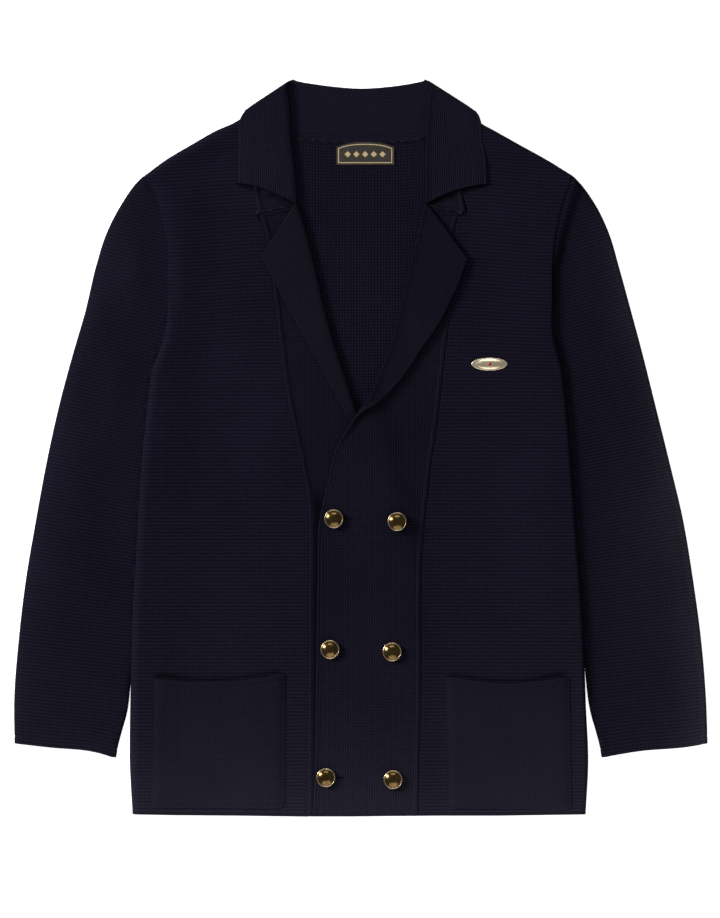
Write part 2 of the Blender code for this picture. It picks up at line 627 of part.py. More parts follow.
edges = make_body(knit)
strip("band_right", band_rows(BAND_RIGHT), front_height, knit)
strip("band_left", band_rows(BAND_LEFT), over_front_height, knit)
strip("collar", collar_rows(), front_height, knit)
for side, sign, outer, inner, cuff in (
    ("right", -1, SLEEVE_RIGHT_OUTER, SLEEVE_RIGHT_INNER, CUFF_RIGHT),
    ("left", 1, SLEEVE_LEFT_OUTER, SLEEVE_LEFT_INNER, CUFF_LEFT),
):
    armhole = edges[side]["arm"][::-1] + [sign * SEAM, 0]
    armhole[-1] += [sign * UNDERARM_GAP, -UNDERARM_GAP]
    sleeve(
        f"sleeve_{side}",
        table(outer)[:, ::-1],
        table(inner)[:, ::-1],
        table(cuff)[:, ::-1],
        armhole,
        knit,
    )
make_pockets(pocket_knit)
make_buttons(brass)
make_label(knit)
make_pin(brass)
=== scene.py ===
"""A long-sleeved knitted jacket cardigan, buttoned and laid flat on its back, seen from straight above.

The tables are in millimetres: x from the body's middle line towards the wearer's left, and height up
from the hem's lowest point. Every piece of cloth is a closed wall of knit with real ribs.
"""

import math

import bpy
import numpy as np
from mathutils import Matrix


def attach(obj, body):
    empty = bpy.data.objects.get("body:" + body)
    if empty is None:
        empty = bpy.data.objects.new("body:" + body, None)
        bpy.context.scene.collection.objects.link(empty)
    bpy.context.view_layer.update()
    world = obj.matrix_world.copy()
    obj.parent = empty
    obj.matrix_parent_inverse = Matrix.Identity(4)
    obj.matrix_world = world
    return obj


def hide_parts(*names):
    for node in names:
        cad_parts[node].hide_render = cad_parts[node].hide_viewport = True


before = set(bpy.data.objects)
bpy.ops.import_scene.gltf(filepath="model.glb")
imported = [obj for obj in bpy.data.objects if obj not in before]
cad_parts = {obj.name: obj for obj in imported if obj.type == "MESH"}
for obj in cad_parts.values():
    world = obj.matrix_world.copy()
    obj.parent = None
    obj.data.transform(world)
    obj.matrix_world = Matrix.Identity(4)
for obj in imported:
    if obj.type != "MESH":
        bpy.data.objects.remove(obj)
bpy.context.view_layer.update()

# ---------------------------------------------------------------------------------------------------
# Back panel. One piece of fully fashioned wool knit, from the hem to the shoulders and the back neck.
# Its ribs run across. It is knitted to shape, so its edges roll, and it is linked to the fronts.
# ---------------------------------------------------------------------------------------------------
MM = 0.001
CENTRE = (0.75, 397.55)  # middle of the whole outline, which is the frame's origin
WALL = 2.0  # thickness of the knit
FOLD = 1.0  # gap inside a turned collar, lapel or sleeve edge
LAYER = 0.5  # gap between a panel and the one it lies on
MARGIN = 10.0  # how far past a hidden edge the piece above stays up
NECK_FALL = 90.0  # length over which the back comes down off the hidden collar leaf
EDGE_RADIUS = 0.9  # radius of a knitted edge
EDGE_STEPS = np.array([0, 0.12, 0.45, 0.9, 3.0])  # distances of the rows and columns by an edge
ROWS_PER_RIB = 4
SHARP = 60.0  # degrees from which an edge is shaded sharp
FINE_STEPS = 400  # steps in which a curve's length is measured
BACK_PITCH, BACK_RIB = 3.3, 0.1  # spacing of the back's ribs, and their height
BACK_COLUMNS = 24
BACK_LENGTH = 735.0  # length of knit from the hem to the neck
BACK_EASE = 175.0  # length below the neck over which the ribs bend to the top edge
HEM_WIDTH, HEM_GROOVE, HEM_RISE = 7.5, 0.16, 0.12  # the turned hem, and the groove above it
HEM_BEND = 60.0  # length above the hem over which the ribs follow its edge
RIB_START = 7.0  # length above the hem from which the ribs begin
SIGNS, COLUMNS = {"right": -1, "left": 1}, {"right": 1, "left": 2}  # each side's x, and in the tables

# Side seams and armholes, from the hem to the shoulder tip.
#   height, wearer's right x, wearer's left x
SIDES = [
    (2.5, -246.8, 242.9),
    (60, -249.6, 245.6),
    (122, -249, 243),
    (170, -248, 241.5),
    (217, -247, 239.5),
    (294, -242.5, 234),
    (376, -237.5, 228),
    (438, -231.5, 223),
    (481, -226.5, 218.5),
]
ARMHOLES = [
    (481, -226.5, 218.5),
    (521, -212.5, 208.8),
    (558, -208, 206.9),
    (591, -208, 206.9),
    (616, -209, 208.5),
    (647, -215.4, 214),
    (663, -218.7, 218.3),
    (692, -234, 228.8),
]
# Shoulder seams, from the shoulder tip to the neck.
#   height, wearer's right x, wearer's left x
SHOULDERS = [
    (692, -234, 228.8),
    (709.6, -210, 200.3),
    (725.6, -183, 171.2),
    (741.8, -154, 142),
    (748.5, -138, 129.5),
    (766.8, -108.3, 104.7),
]
# The hem's lower edge, x and height.
HEM = [(-246.8, 2.5), (-200, 1.5), (-130, 1), (-56.7, 0), (0, 0), (57.8, 1), (150, 1), (242.9, 2.5)]
# The collar strip, a row for each section round the neck, from its end on the wearer's right.
#   seam x, seam height, fold x, fold height, leaf edge x, leaf edge height,
#   roll (0 with the leaf on top, 180 with the leaf underneath), bow of the leaf in the section
COLLAR = [
    (-111, 651.2, -68.5, 662.6, -132.3, 683.6, 0, 4.5),
    (-116, 676, -69.5, 683, -132.6, 704, 0, 1.5),
    (-118, 698, -71.5, 704, -132.2, 719, 0, 0),
    (-119, 720, -74.5, 728, -131.6, 731, 0, 0),
    (-117.5, 741, -76, 751, -132, 742, 0, 0),
    (-113.5, 756.5, -77, 772, -130.4, 753, 0, 0),
    (-108.3, 766.8, -78.5, 791.6, -125.6, 760.8, 0, 0),
    (-106, 768.5, -73.5, 796.2, -124.4, 761, 180, 0),
    (-96, 755, -73, 796, -113, 748, 180, 0),
    (-82, 741, -71.5, 795.4, -95, 736, 180, 0),
    (-68, 731.2, -68, 794, -78, 728, 180, 0),
    (-50, 729, -50, 791, -55, 723.5, 180, 0),
    (-25, 727.8, -25, 787.8, -27, 722, 180, 0),
    (0, 728.2, 0, 786.2, 0, 721.5, 180, 0),
    (25, 727.9, 25, 787.6, 27, 722, 180, 0),
    (50, 729, 50, 790.8, 55, 723.5, 180, 0),
    (66, 731.4, 66, 794, 76, 728, 180, 0),
    (80, 741, 68.3, 795.2, 93, 736, 180, 0),
    (94, 755, 69, 795.8, 109.5, 748, 180, 0),
    (104.6, 767.6, 69.8, 796, 123.5, 759.6, 180, 0),
    (104.7, 767.5, 74.2, 791.2, 125.4, 759.4, 0, 0),
    (111, 757, 72.2, 772, 129.4, 751, 0, 0),
    (114.5, 741, 71, 751, 131, 741, 0, 0),
    (115, 720, 69.8, 728, 131.5, 731, 0, 0),
    (113, 698, 69.4, 704, 134, 719, 0, 0),
    (110.5, 676, 69.2, 683, 135.5, 704, 0, 1.5),
    (114, 651.2, 69, 662.6, 136.6, 682.8, 0, 4.5),
]


def linear(hex_colour):
    """An sRGB hex value as linear red, green, blue and an alpha of 1: each share c of 255 becomes
    ((c + 0.055) / 1.055) ** 2.4, or c / 12.92 in the darkest part."""
    shares = [int(hex_colour[i : i + 2], 16) / 255 for i in (1, 3, 5)]
    return [*(((c + 0.055) / 1.055) ** 2.4 if c > 0.04045 else c / 12.92 for c in shares), 1]


def add(tree, kind, inputs=(), **settings):
    """Adds a node of that kind to the tree. Settings are its properties. Inputs pairs a socket's name
    or number with the socket that feeds it or with its value."""
    node = tree.nodes.new("ShaderNode" + kind)
    for name, value in settings.items():
        setattr(node, name, value)
    for key, value in dict(inputs).items():
        if isinstance(value, bpy.types.NodeSocket):
            tree.links.new(value, node.inputs[key])
        else:
            node.inputs[key].default_value = value
    return node


def new_material(name, values):
    """A material with these values on its shader's own sockets. Returns it, its tree and its shader."""
    made = bpy.data.materials.new(name)
    made.use_nodes = True
    shader = made.node_tree.nodes["Principled BSDF"]
    for socket, value in values.items():
        shader.inputs[socket].default_value = value
    return made, made.node_tree, shader


def layered(tree, colour, layers):
    """The hex colour with each (share, hex colour) mixed over it in turn."""
    colour = linear(colour)
    for share, over in layers:
        colour = add(tree, "Mix", {0: share, 6: colour, 7: linear(over)}, data_type="RGBA").outputs[2]
    return colour


def ripple(tree, place, spacing):
    """The sine of one whole turn for each spacing."""
    turn = add(tree, "Math", {0: place, 1: 2 * math.pi / spacing}, operation="MULTIPLY")
    return add(tree, "Math", {0: turn.outputs[0]}, operation="SINE").outputs[0]


def dress(tree, shader, colour, height, relief, strength=1.0):
    """Gives the shader its colour, and a bump that is the height times the relief in mm."""
    bump = add(tree, "Bump", {"Height": height, "Distance": relief * MM, "Strength": strength})
    tree.links.new(colour, shader.inputs["Base Color"])
    tree.links.new(bump.outputs["Normal"], shader.inputs["Normal"])


def knit_material(name, dark, light, courses, wales, relief, shades=(0.3, 0.16)):
    """Dyed wool knit. Two sines, one across the courses and one across the wales, and noise at the
    yarn's size make both the relief and how far the colour goes from the dark of the grooves to the
    light of the loops' backs, which is partly the yarn's own tone and partly painted shade in the
    grooves. Courses and wales are spacings in mm on the piece's own map, relief is what the courses,
    the wales and the yarn's fuzz take of the relief, and shades what the first two take of the colour.
    One attribute mixes in painted shade, near black, where a seam, fold, gap or channel lies deep; the
    other mixes in painted light, a pale grey on the loops' backs near rims, the hem and a lapel, and
    on the thread it is an even paler tone."""
    made, tree, shader = new_material(name, {"Roughness": 0.9, "Specular IOR Level": 0.02})
    place_in_mm = add(tree, "UVMap", uv_map="knit").outputs["UV"]
    place_in_metres = add(tree, "TexCoord").outputs["Object"]
    # The yarn is uneven, so the loops wander by a fraction of a millimetre.
    wander = add(tree, "TexNoise", {"Vector": place_in_metres, "Scale": WANDER_SCALE, "Detail": 2.0})
    wander = add(tree, "VectorMath", {0: wander.outputs["Color"], 1: (0.5, 0.5, 0.5)}, operation="SUBTRACT")
    wander = add(tree, "VectorMath", {0: wander.outputs["Vector"], "Scale": WANDER}, operation="SCALE")
    loops = add(tree, "VectorMath", {0: place_in_mm, 1: wander.outputs["Vector"]}, operation="ADD")
    split = add(tree, "SeparateXYZ", {0: loops.outputs["Vector"]})
    # The four parts of relief and colour: courses, wales, the yarn's fuzz, and patches of uneven dye. The
    # courses' and wales' dark grooves in the colour are partly painted shade.
    parts = [ripple(tree, split.outputs["Y"], courses), ripple(tree, split.outputs["X"], wales)]
    for scale, detail, roughness in ((FUZZ_SCALE, 3.0, 0.7), (PATCH_SCALE, 2.0, 0.5)):
        noise = {"Vector": place_in_metres, "Scale": scale, "Detail": detail, "Roughness": roughness}
        noise = add(tree, "TexNoise", noise).outputs["Fac"]
        parts.append(add(tree, "Math", {0: noise, 1: 0.5}, operation="SUBTRACT").outputs[0])
    height, shade = 0.0, 0.5
    for part, share in zip(parts, relief):
        height = add(tree, "Math", {0: part, 1: share, 2: height}, operation="MULTIPLY_ADD").outputs[0]
    for part, share in zip(parts, (*shades, FUZZ_SHADE, PATCH_SHADE)):
        shade = {0: part, 1: share, 2: shade}
        shade = add(tree, "Math", shade, operation="MULTIPLY_ADD", use_clamp=part is parts[-1]).outputs[0]
    # Painted shade and painted light, read from two attributes, are mixed over the knit's colour.
    painted_shade = add(tree, "Attribute", attribute_name="painted_shade").outputs["Fac"]
    pale_tone_and_painted_light = add(tree, "Attribute", attribute_name="pale_tone_and_painted_light").outputs["Fac"]
    crests = add(tree, "Math", {0: shade, 1: 0.5, 2: 0.25}, operation="MULTIPLY_ADD").outputs[0]
    pale_tone_and_painted_light = add(tree, "Math", {0: pale_tone_and_painted_light, 1: crests}, operation="MULTIPLY").outputs[0]
    colour = layered(tree, dark, ((shade, light), (painted_shade, PAINTED_SHADE_COLOUR), (pale_tone_and_painted_light, PAINTED_LIGHT_COLOUR)))
    dress(tree, shader, colour, height, KNIT_RELIEF)
    return made


def table(rows):
    return np.array(rows, dtype=float)


def hermite(knots, values, at):
    """Cubic pieces through the values at the knots, with the slope of a parabola at each knot."""
    slope = np.gradient(values, knots, axis=0)
    i = np.clip(np.searchsorted(knots, at, side="right") - 1, 0, len(knots) - 2)
    step = (knots[i + 1] - knots[i])[:, None]
    t = (at - knots[i])[:, None] / step
    return (
        (1 + 2 * t) * (1 - t) ** 2 * values[i]
        + t * (1 - t) ** 2 * step * slope[i]
        + t * t * (3 - 2 * t) * values[i + 1]
        + t * t * (t - 1) * step * slope[i + 1]
    )


def along(points):
    """Distance along a polyline, at each of its points."""
    return np.append(0, np.cumsum(np.linalg.norm(np.diff(points, axis=0), axis=1)))


def read_along(at, knots, points):
    """x and height of a polyline whose points are at the knots, at each distance or share."""
    return np.stack([np.interp(at, knots, points[:, axis]) for axis in (0, 1)], axis=-1)


def evenly(points, count):
    """Points spread evenly along a smooth curve through the given (x, height) points."""
    points = table(points)
    knots = along(points)
    fine = hermite(knots, points, np.linspace(0, knots[-1], FINE_STEPS))
    length = along(fine)
    at = np.linspace(0, length[-1], count)
    return read_along(at, length, fine)


def unit(vectors):
    """The vectors with a length of 1, along the last axis."""
    return vectors / np.linalg.norm(vectors, axis=-1, keepdims=True)


def bell(distance, width):
    """exp(-(d / w)^2): 1 in the middle, 0.37 at the width."""
    return np.exp(-((distance / width) ** 2))


def smooth(share):
    """A rise from 0 to 1 with level ends: 3 s^2 - 2 s^3."""
    share = np.clip(share, 0, 1)
    return share * share * (3 - 2 * share)


def distance_outside(points, outline):
    """Distance from each point to the outline, and 0 inside it. The last axis holds (x, height)."""
    start, end = outline, np.roll(outline, -1, axis=0)
    flat = points.reshape(-1, 1, 2)
    span = end - start
    squared = np.maximum((span**2).sum(-1), 1e-9)
    share = np.clip(((flat - start) * span).sum(-1) / squared, 0, 1)
    away = np.linalg.norm(flat - start - share[..., None] * span, axis=-1).min(axis=1)
    x, height = flat[..., 0], flat[..., 1]
    crosses = (start[:, 1] > height) != (end[:, 1] > height)
    rise = np.where(span[:, 1] == 0, 1, span[:, 1])
    hit = start[:, 0] + (height - start[:, 1]) / rise * span[:, 0]
    inside = (crosses & (x < hit)).sum(axis=1) % 2 == 1
    return np.where(inside, 0, away).reshape(points.shape[:-1])


def lift(points, outline, rise, fall):
    """Height that cloth gains over a hidden layer: the full rise to MARGIN past its outline, then a
    half wave of a cosine down to nothing."""
    share = np.clip((distance_outside(points, outline) - MARGIN) / fall, 0, 1)
    return rise * (1 + np.cos(math.pi * share)) / 2


def back_height(points):
    """Lower face of the back, which the collar's hidden leaf and stand carry near the neck."""
    turned = table(COLLAR)[:, 6] == 180
    leaf = table(COLLAR)[turned, 4:6]
    top = table(COLLAR)[turned, 2:4][::-1]
    return lift(points, np.vstack([leaf, top]), WALL + FOLD, NECK_FALL)


def edge_drop(distance):
    """How far a skin falls towards the middle of the wall by an edge: a quarter of a circle."""
    inward = EDGE_RADIUS - np.minimum(distance, EDGE_RADIUS)
    return EDGE_RADIUS - np.sqrt(EDGE_RADIUS**2 - inward**2)


def hem_relief(distance):
    """The turned hem stands a little proud, above it a groove: a step and a bell."""
    step = HEM_RISE * (1 - smooth((distance - HEM_WIDTH + 1.5) / 1.5))
    return (step - HEM_GROOVE * bell(distance - HEM_WIDTH - 0.6, 0.9)) * smooth(distance / 2)


def between_edges(width, count):
    """Distances from one edge to the other for each row's width: a few close to either edge, and
    count more spread evenly between them."""
    near = np.minimum(EDGE_STEPS[None], width[:, None] * np.linspace(0, 0.3, len(EDGE_STEPS)))
    share = np.linspace(0, 1, count + 2)[1:-1]
    middle = near[:, -1:] + (width[:, None] - 2 * near[:, -1:]) * share
    return np.hstack([near, middle, width[:, None] - near[:, ::-1]])


def edge_x(curves, column, heights):
    """x of a panel's edge at each height, on smooth curves through the tables' rows end to end."""
    fine = np.vstack([evenly(table(rows)[:, [column, 0]], FINE_STEPS) for rows in curves])
    return np.interp(heights, fine[:, 1], fine[:, 0])


def place(points):
    """Garment millimetres to the frame's metres."""
    return (points - [*CENTRE, 0]) * MM


def in_scene(name, data):
    """A new object in the scene, at the origin."""
    made = bpy.data.objects.new(name, data)
    bpy.context.scene.collection.objects.link(made)
    return made


def finished(name, mesh, finishes):
    """The mesh as a piece of the body in its finishes, smooth but for its sharp edges."""
    mesh.shade_smooth()
    mesh.set_sharp_from_angle(angle=math.radians(SHARP))
    for finish in finishes:
        mesh.materials.append(finish)
    piece = in_scene(name, mesh)
    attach(piece, "root")
    return piece


def quads(number):
    """The four corners of each face of a grid of vertex numbers."""
    corners = number[:-1, :-1], number[:-1, 1:], number[1:, 1:], number[1:, :-1]
    return np.stack(corners, axis=-1).reshape(-1, 4)


def shell(name, outer, inner, loops, finish, around=False, painted_shade=0.0, pale_tone_and_painted_light=0.0):
    """A closed wall between two skins of the same grid. Around closes the columns into a tube. Loops
    is the map that the knit follows, in mm. The painted shade is 0 on open cloth and up to 1 where shade
    is painted into a channel, gap or seam; the painted light is up to 1 where light is painted in pale,
    and also carries the label's figure and the thread's paler tone. The faces are turned so that the
    volume is positive."""
    rows, columns = outer.shape[:2]
    points = place(np.vstack([outer.reshape(-1, 3), inner.reshape(-1, 3)]))
    number = np.arange(rows * columns).reshape(rows, columns)
    if around:
        number = np.hstack([number, number[:, :1]])
    within = rows * columns
    outside = quads(number)
    faces = [outside, outside[:, ::-1] + within]
    rims = [number[0], number[-1, ::-1]]
    if not around:
        rims += [number[::-1, 0], number[:, -1]]
    for rim in rims:
        here, there = rim[:-1], rim[1:]
        faces.append(np.stack([there, here, here + within, there + within], axis=-1))
    faces = np.vstack(faces)
    corners = points[faces]
    first = np.cross(corners[:, 1], corners[:, 2])
    second = np.cross(corners[:, 2], corners[:, 3])
    if ((first + second) * corners[:, 0]).sum() < 0:
        faces = faces[:, ::-1]
    mesh = bpy.data.meshes.new(name)
    mesh.vertices.add(len(points))
    mesh.vertices.foreach_set("co", points.ravel())
    mesh.loops.add(faces.size)
    mesh.loops.foreach_set("vertex_index", faces.ravel())
    mesh.polygons.add(len(faces))
    mesh.polygons.foreach_set("loop_start", np.arange(0, faces.size, 4))
    mesh.update(calc_edges=True)
    both = np.tile(loops.reshape(-1, 2), (2, 1))
    layer = mesh.uv_layers.new(name="knit")
    layer.data.foreach_set("uv", both[faces.ravel()].ravel())
    for title, values in (("painted_shade", painted_shade), ("pale_tone_and_painted_light", pale_tone_and_painted_light)):
        values = np.broadcast_to(values, outer.shape[:2]).ravel()
        attribute = mesh.attributes.new(title, "FLOAT", "POINT")
        attribute.data.foreach_set("value", np.append(values, values).astype(np.float32))
    return finished(name, mesh, [finish])


WANDER_SCALE, WANDER = 90.0, 0.9  # per metre, and mm
FUZZ_SCALE, PATCH_SCALE = 800.0, 9.0  # per metre
FUZZ_SHADE, PATCH_SHADE = 1.3, 0.45
KNIT_RELIEF = 0.6  # mm
# Painted shade, near black, and painted light, a pale grey, which the knit's two attributes mix in.
PAINTED_SHADE_COLOUR, PAINTED_LIGHT_COLOUR = "#020205", "#35323d"

# The reverse of the knit, dyed near-black navy: quite matt, with even dots of loops.
back_knit = knit_material(
    "wool_knit_reverse", "#080712", "#191623", BACK_PITCH, 3.2, (0.2, 0.18, 0.4), (0.26, 0.26)
)

length = np.concatenate([
    EDGE_STEPS[:-1],
    np.arange(1.4, BACK_LENGTH - 1.2, BACK_PITCH / ROWS_PER_RIB),
    BACK_LENGTH - EDGE_STEPS[:-1][::-1],
])
from_hem = length[:, None]
tip_height, *shoulder_tips = SHOULDERS[0]
turned = table(COLLAR)[:, 6] == 180
top_edge = np.vstack([
    evenly(table(SHOULDERS)[:, [1, 0]], FINE_STEPS)[:-1],
    table(COLLAR)[turned, 0:2],
    evenly(table(SHOULDERS)[:, [2, 0]], FINE_STEPS)[-2::-1],
])
across = between_edges(np.array([shoulder_tips[1] - shoulder_tips[0]]), BACK_COLUMNS)[0]
top_x = shoulder_tips[0] + across
top_height = np.interp(top_x, top_edge[:, 0], top_edge[:, 1])
ease = smooth((length - BACK_LENGTH + BACK_EASE) / BACK_EASE)
side_height = length - (BACK_LENGTH - tip_height) * ease
right_x, left_x = (edge_x((SIDES, ARMHOLES), column, side_height) for column in COLUMNS.values())
gaps = between_edges(left_x - right_x, BACK_COLUMNS)
x = right_x[:, None] + gaps
x += ease[:, None] * (top_x - x)
hem_height = np.interp(x[0], *table(HEM).T)
height = side_height[:, None] + ease[:, None] * (top_height - tip_height)
height = height + hem_height * (1 - smooth(from_hem / HEM_BEND))
plan = np.dstack([x, height])
from_side = np.minimum(gaps, gaps[:, -1:] - gaps)
from_edge = np.minimum(from_side, np.minimum(from_hem, BACK_LENGTH - from_hem))
rib = BACK_RIB * np.sin(2 * math.pi * from_hem / BACK_PITCH)
rib = rib * smooth((from_hem - RIB_START) / 4) * smooth(from_edge / 4)
drop = edge_drop(from_edge)
base = back_height(plan)
upper = base + WALL - drop + rib + hem_relief(from_hem)
lower = base + drop + BACK_RIB - rib
loops = np.dstack([x, np.broadcast_to(from_hem, x.shape)])
back = shell("back_panel", np.dstack([plan, upper]), np.dstack([plan, lower]), loops, back_knit)
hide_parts("back")

# ---------------------------------------------------------------------------------------------------
# Fronts. Each is one piece of the same knit, with ribs across and a turned hem. Its outer edge is
# linked to the back and the sleeve, its inner edge to the band. The wearer's left front lies on the
# other front's band, so it stands higher there.
# ---------------------------------------------------------------------------------------------------
FRONT = WALL + LAYER  # height of a front's lower face where it lies on the flat back
FRONT_PITCH, FRONT_RIB = 3.8, 0.08
HEM_RIB, RIB_FULL = 0.55, 300.0  # share of the ribs' height at the hem, and where they have all of it
FRONT_COLUMNS = 16
FRONT_TOP = 766.3  # where the front's top corner ends
BAND_FALL = 30.0  # length over which the over front comes down off the under front
LAPEL_FALL = 75.0  # the same off the under front's lapel
LAPEL_ROOM = 0.7  # what the under lapel's end needs above its own wall and fold
SEAM_GAP = 0.1  # gap under a front's rolled outer edge
OVERLAP = 0.9  # how far two linked edges run into each other
LINKED = 500.0  # the height by which the sleeve lies close to the body
ARMHOLE = (520, 50, 682, 12)  # heights where a sleeve's linking starts and ends, each with its length
# The under band, on the wearer's right, a row for each section from the gorge to the hem.
#   seam x, seam height, roll line or front edge x, height, lapel edge x, height,
#   turn (180 where the lapel is folded over, 0 where the band is flat)
BAND_RIGHT = [
    (-111.2, 651.3, -68.4, 662.5, -108, 604.8, 180),
    (-104.7, 634, -60.9, 639, -98.5, 587.3, 180),
    (-99.2, 607, -51.6, 604, -83, 558.5, 180),
    (-96, 577, -42, 562, -68, 531, 180),
    (-90.3, 530, -32.5, 525, -51, 499.5, 180),
    (-83.8, 476.3, -18.5, 481, -30.5, 461.5, 180),
    (-75.7, 430, -3.8, 436.3, -9, 422, 180),
    (-68.6, 398, 7, 405, 5, 398, 180),
    (-64.6, 380, 12, 386, 12, 386, 60),
    (-61, 362, 18, 366, 18, 366, 0),
    (-57.6, 338, 26, 338, 26, 338, 0),
    (-56.4, 300, 35, 300, 35, 300, 0),
    (-56.9, 250, 42, 250, 42, 250, 0),
    (-57, 185, 45, 185, 45, 185, 0),
    (-57.3, 122, 46, 122, 46, 122, 0),
    (-57.5, 60, 47, 60, 47, 60, 0),
    (-57.7, 0.3, 48, 0.7, 48, 0.7, 0),
]
# The over band, on the wearer's left, with the same columns.
BAND_LEFT = [
    (107.1, 651.3, 68.9, 662.5, 115, 602.6, 180),
    (102, 634, 63.5, 639, 108.5, 583, 180),
    (99, 607, 55.5, 604, 97.5, 558.5, 180),
    (101.2, 570, 45.5, 565, 84, 532, 180),
    (95.3, 527, 36.5, 525, 66.5, 506.5, 180),
    (89.6, 478, 21.5, 482, 45, 474.4, 180),
    (85, 437, 8.5, 453, 22, 449.5, 180),
    (81.5, 410, -2.7, 437.8, 2, 433.5, 150),
    (77.3, 385, -10.8, 423.5, -10.8, 423.5, 60),
    (74, 355, -25.4, 400.7, -25.4, 400.7, 0),
    (70.2, 322, -36.8, 356, -36.8, 356, 0),
    (67.2, 285, -45.4, 315.5, -45.4, 315.5, 0),
    (65.8, 245, -47.2, 250, -47.2, 250, 0),
    (65.9, 185, -47.7, 185, -47.7, 185, 0),
    (65.5, 122, -48.3, 122, -48.3, 122, 0),
    (64, 60, -49.3, 60, -49.3, 60, 0),
    (62.6, 1, -51.5, 0.7, -51.5, 0.7, 0),
]
# Soft swells of the laid fronts: x, height, half width, half height, rise.
SWELLS = [
    (-186, 655, 26, 80, 2.2),
    (-170, 545, 24, 60, -0.9),
    (-92, 400, 40, 70, 2.4),
    (-150, 350, 36, 80, -0.9),
    (-205, 430, 26, 80, 1.5),
    (-128, 500, 26, 50, 1.0),
    (-120, 250, 60, 40, 0.8),
    (-200, 225, 30, 45, 1.0),
    (160, 640, 30, 46, 1.6),
    (120, 600, 24, 40, -0.8),
    (190, 555, 26, 70, 1.8),
    (145, 420, 36, 60, 1.4),
    (200, 350, 28, 80, 1.6),
    (115, 300, 36, 60, -0.9),
    (180, 205, 44, 40, 1.0),
    (10, 150, 60, 60, 0.8),
    (5, 290, 36, 36, 0.8),
]
# The patch pockets' mouths: ends and lowest point, x and height.
MOUTHS = {
    "right": [(-223, 149), (-158, 145.3), (-81.5, 154)],
    "left": [(92.3, 151.5), (157, 143.6), (225.2, 150.5)],
}
HEM_LIGHT, HEM_LIGHT_HEIGHT = 0.5, 85.0  # painted light: how much paler the hem is painted, and how far up that shows
MOUTH_WIDEST, MOUTH_ENDS = 0.1, 0.03  # shares of the mouth: where it gapes most, and its closed ends
MOUTH_TROUGH = 1.28  # how far a front falls towards its pocket's mouth


def mouth_gap(points, side):
    """How far a front has fallen above its pocket's mouth: a bell 2 mm above it, widest at the mouth's
    outer end, and nothing past the ends."""
    curve = evenly(MOUTHS[side], FINE_STEPS)
    x = points[..., 0]
    above = points[..., 1] - np.interp(x, *curve.T)
    share = np.clip((x - curve[0, 0]) / (curve[-1, 0] - curve[0, 0]), 0, 1)
    outer_share = share if side == "right" else 1 - share
    width = 2.0 + 1.6 * bell(outer_share - MOUTH_WIDEST, 0.12) + 0.5 * smooth((outer_share - 0.6) / 0.3)
    ends = smooth(share / MOUTH_ENDS) * smooth((1 - share) / MOUTH_ENDS)
    most = 0.5 + 0.5 * bell(outer_share - MOUTH_WIDEST, 0.2)
    return most * ends * bell(above - width, width)


def hem_painted_light(height):
    """Painted light at each height: how much paler the lower body is painted towards the hem, falling to e^-1
    of the most at the given height.
    """
    return HEM_LIGHT * np.exp(-np.maximum(height, 0) / HEM_LIGHT_HEIGHT)


def swelling(points, swells):
    """The sum of the swells at each point, each a bell over its width and its height."""
    middle_x, middle_height, half_width, half_height, rise = table(swells).T
    apart = ((points[..., :1] - middle_x) / half_width) ** 2
    apart += ((points[..., 1:2] - middle_height) / half_height) ** 2
    return (rise * np.exp(-apart)).sum(axis=-1)


def front_height(points):
    """Lower face of a front that lies on the back: level but for its swells."""
    return back_height(points) + FRONT + np.maximum(swelling(points, SWELLS), -LAYER / 2)


def over_front_height(points):
    """Lower face of the wearer's left front, which lies on the other front's band and lapel."""
    rows = table(BAND_RIGHT)
    band = np.vstack([rows[:, 0:2], rows[::-1, 2:4]])
    folded = rows[:, 6] > 0
    folded[1:] |= folded[:-1]
    lapel = np.vstack([rows[folded, 2:4], rows[folded, 4:6][::-1]])
    over_band = lift(points, band, WALL + LAYER, BAND_FALL)
    return front_height(points) + over_band + lift(points, lapel, WALL + FOLD + LAPEL_ROOM, LAPEL_FALL)


# The face of the knit: quite matt, its ribs and loops only a little lighter than their grooves.
front_knit = knit_material("wool_knit_face", "#090813", "#191623", FRONT_PITCH, 2.7, (0.1, 0.1, 0.35))


def painted_shade_under_leaf(points):
    """Painted shade in the gap under the collar leaf's two ends: a bell on the distance to
    each end's line, widest at the gorge."""
    deep = 0
    for row, sign in ((0, -1), (-1, 1)):
        fold, leaf = table(COLLAR)[row, 2:4], table(COLLAR)[row, 4:6]
        share = np.clip(((points - fold) @ (leaf - fold)) / ((leaf - fold) ** 2).sum(), 0, 1)
        away = np.linalg.norm(points - fold - share[..., None] * (leaf - fold), axis=-1)
        deep = np.maximum(deep, LEAF_PAINTED_SHADE * bell(away, 5.0 - 2.8 * share))
    return deep


def armhole_share(height):
    """1 along the armhole, where the sleeve is linked to the body, and 0 below and above it."""
    start, rise, end, fall = ARMHOLE
    return smooth((height - start) / rise) * (1 - smooth((height - end) / fall))


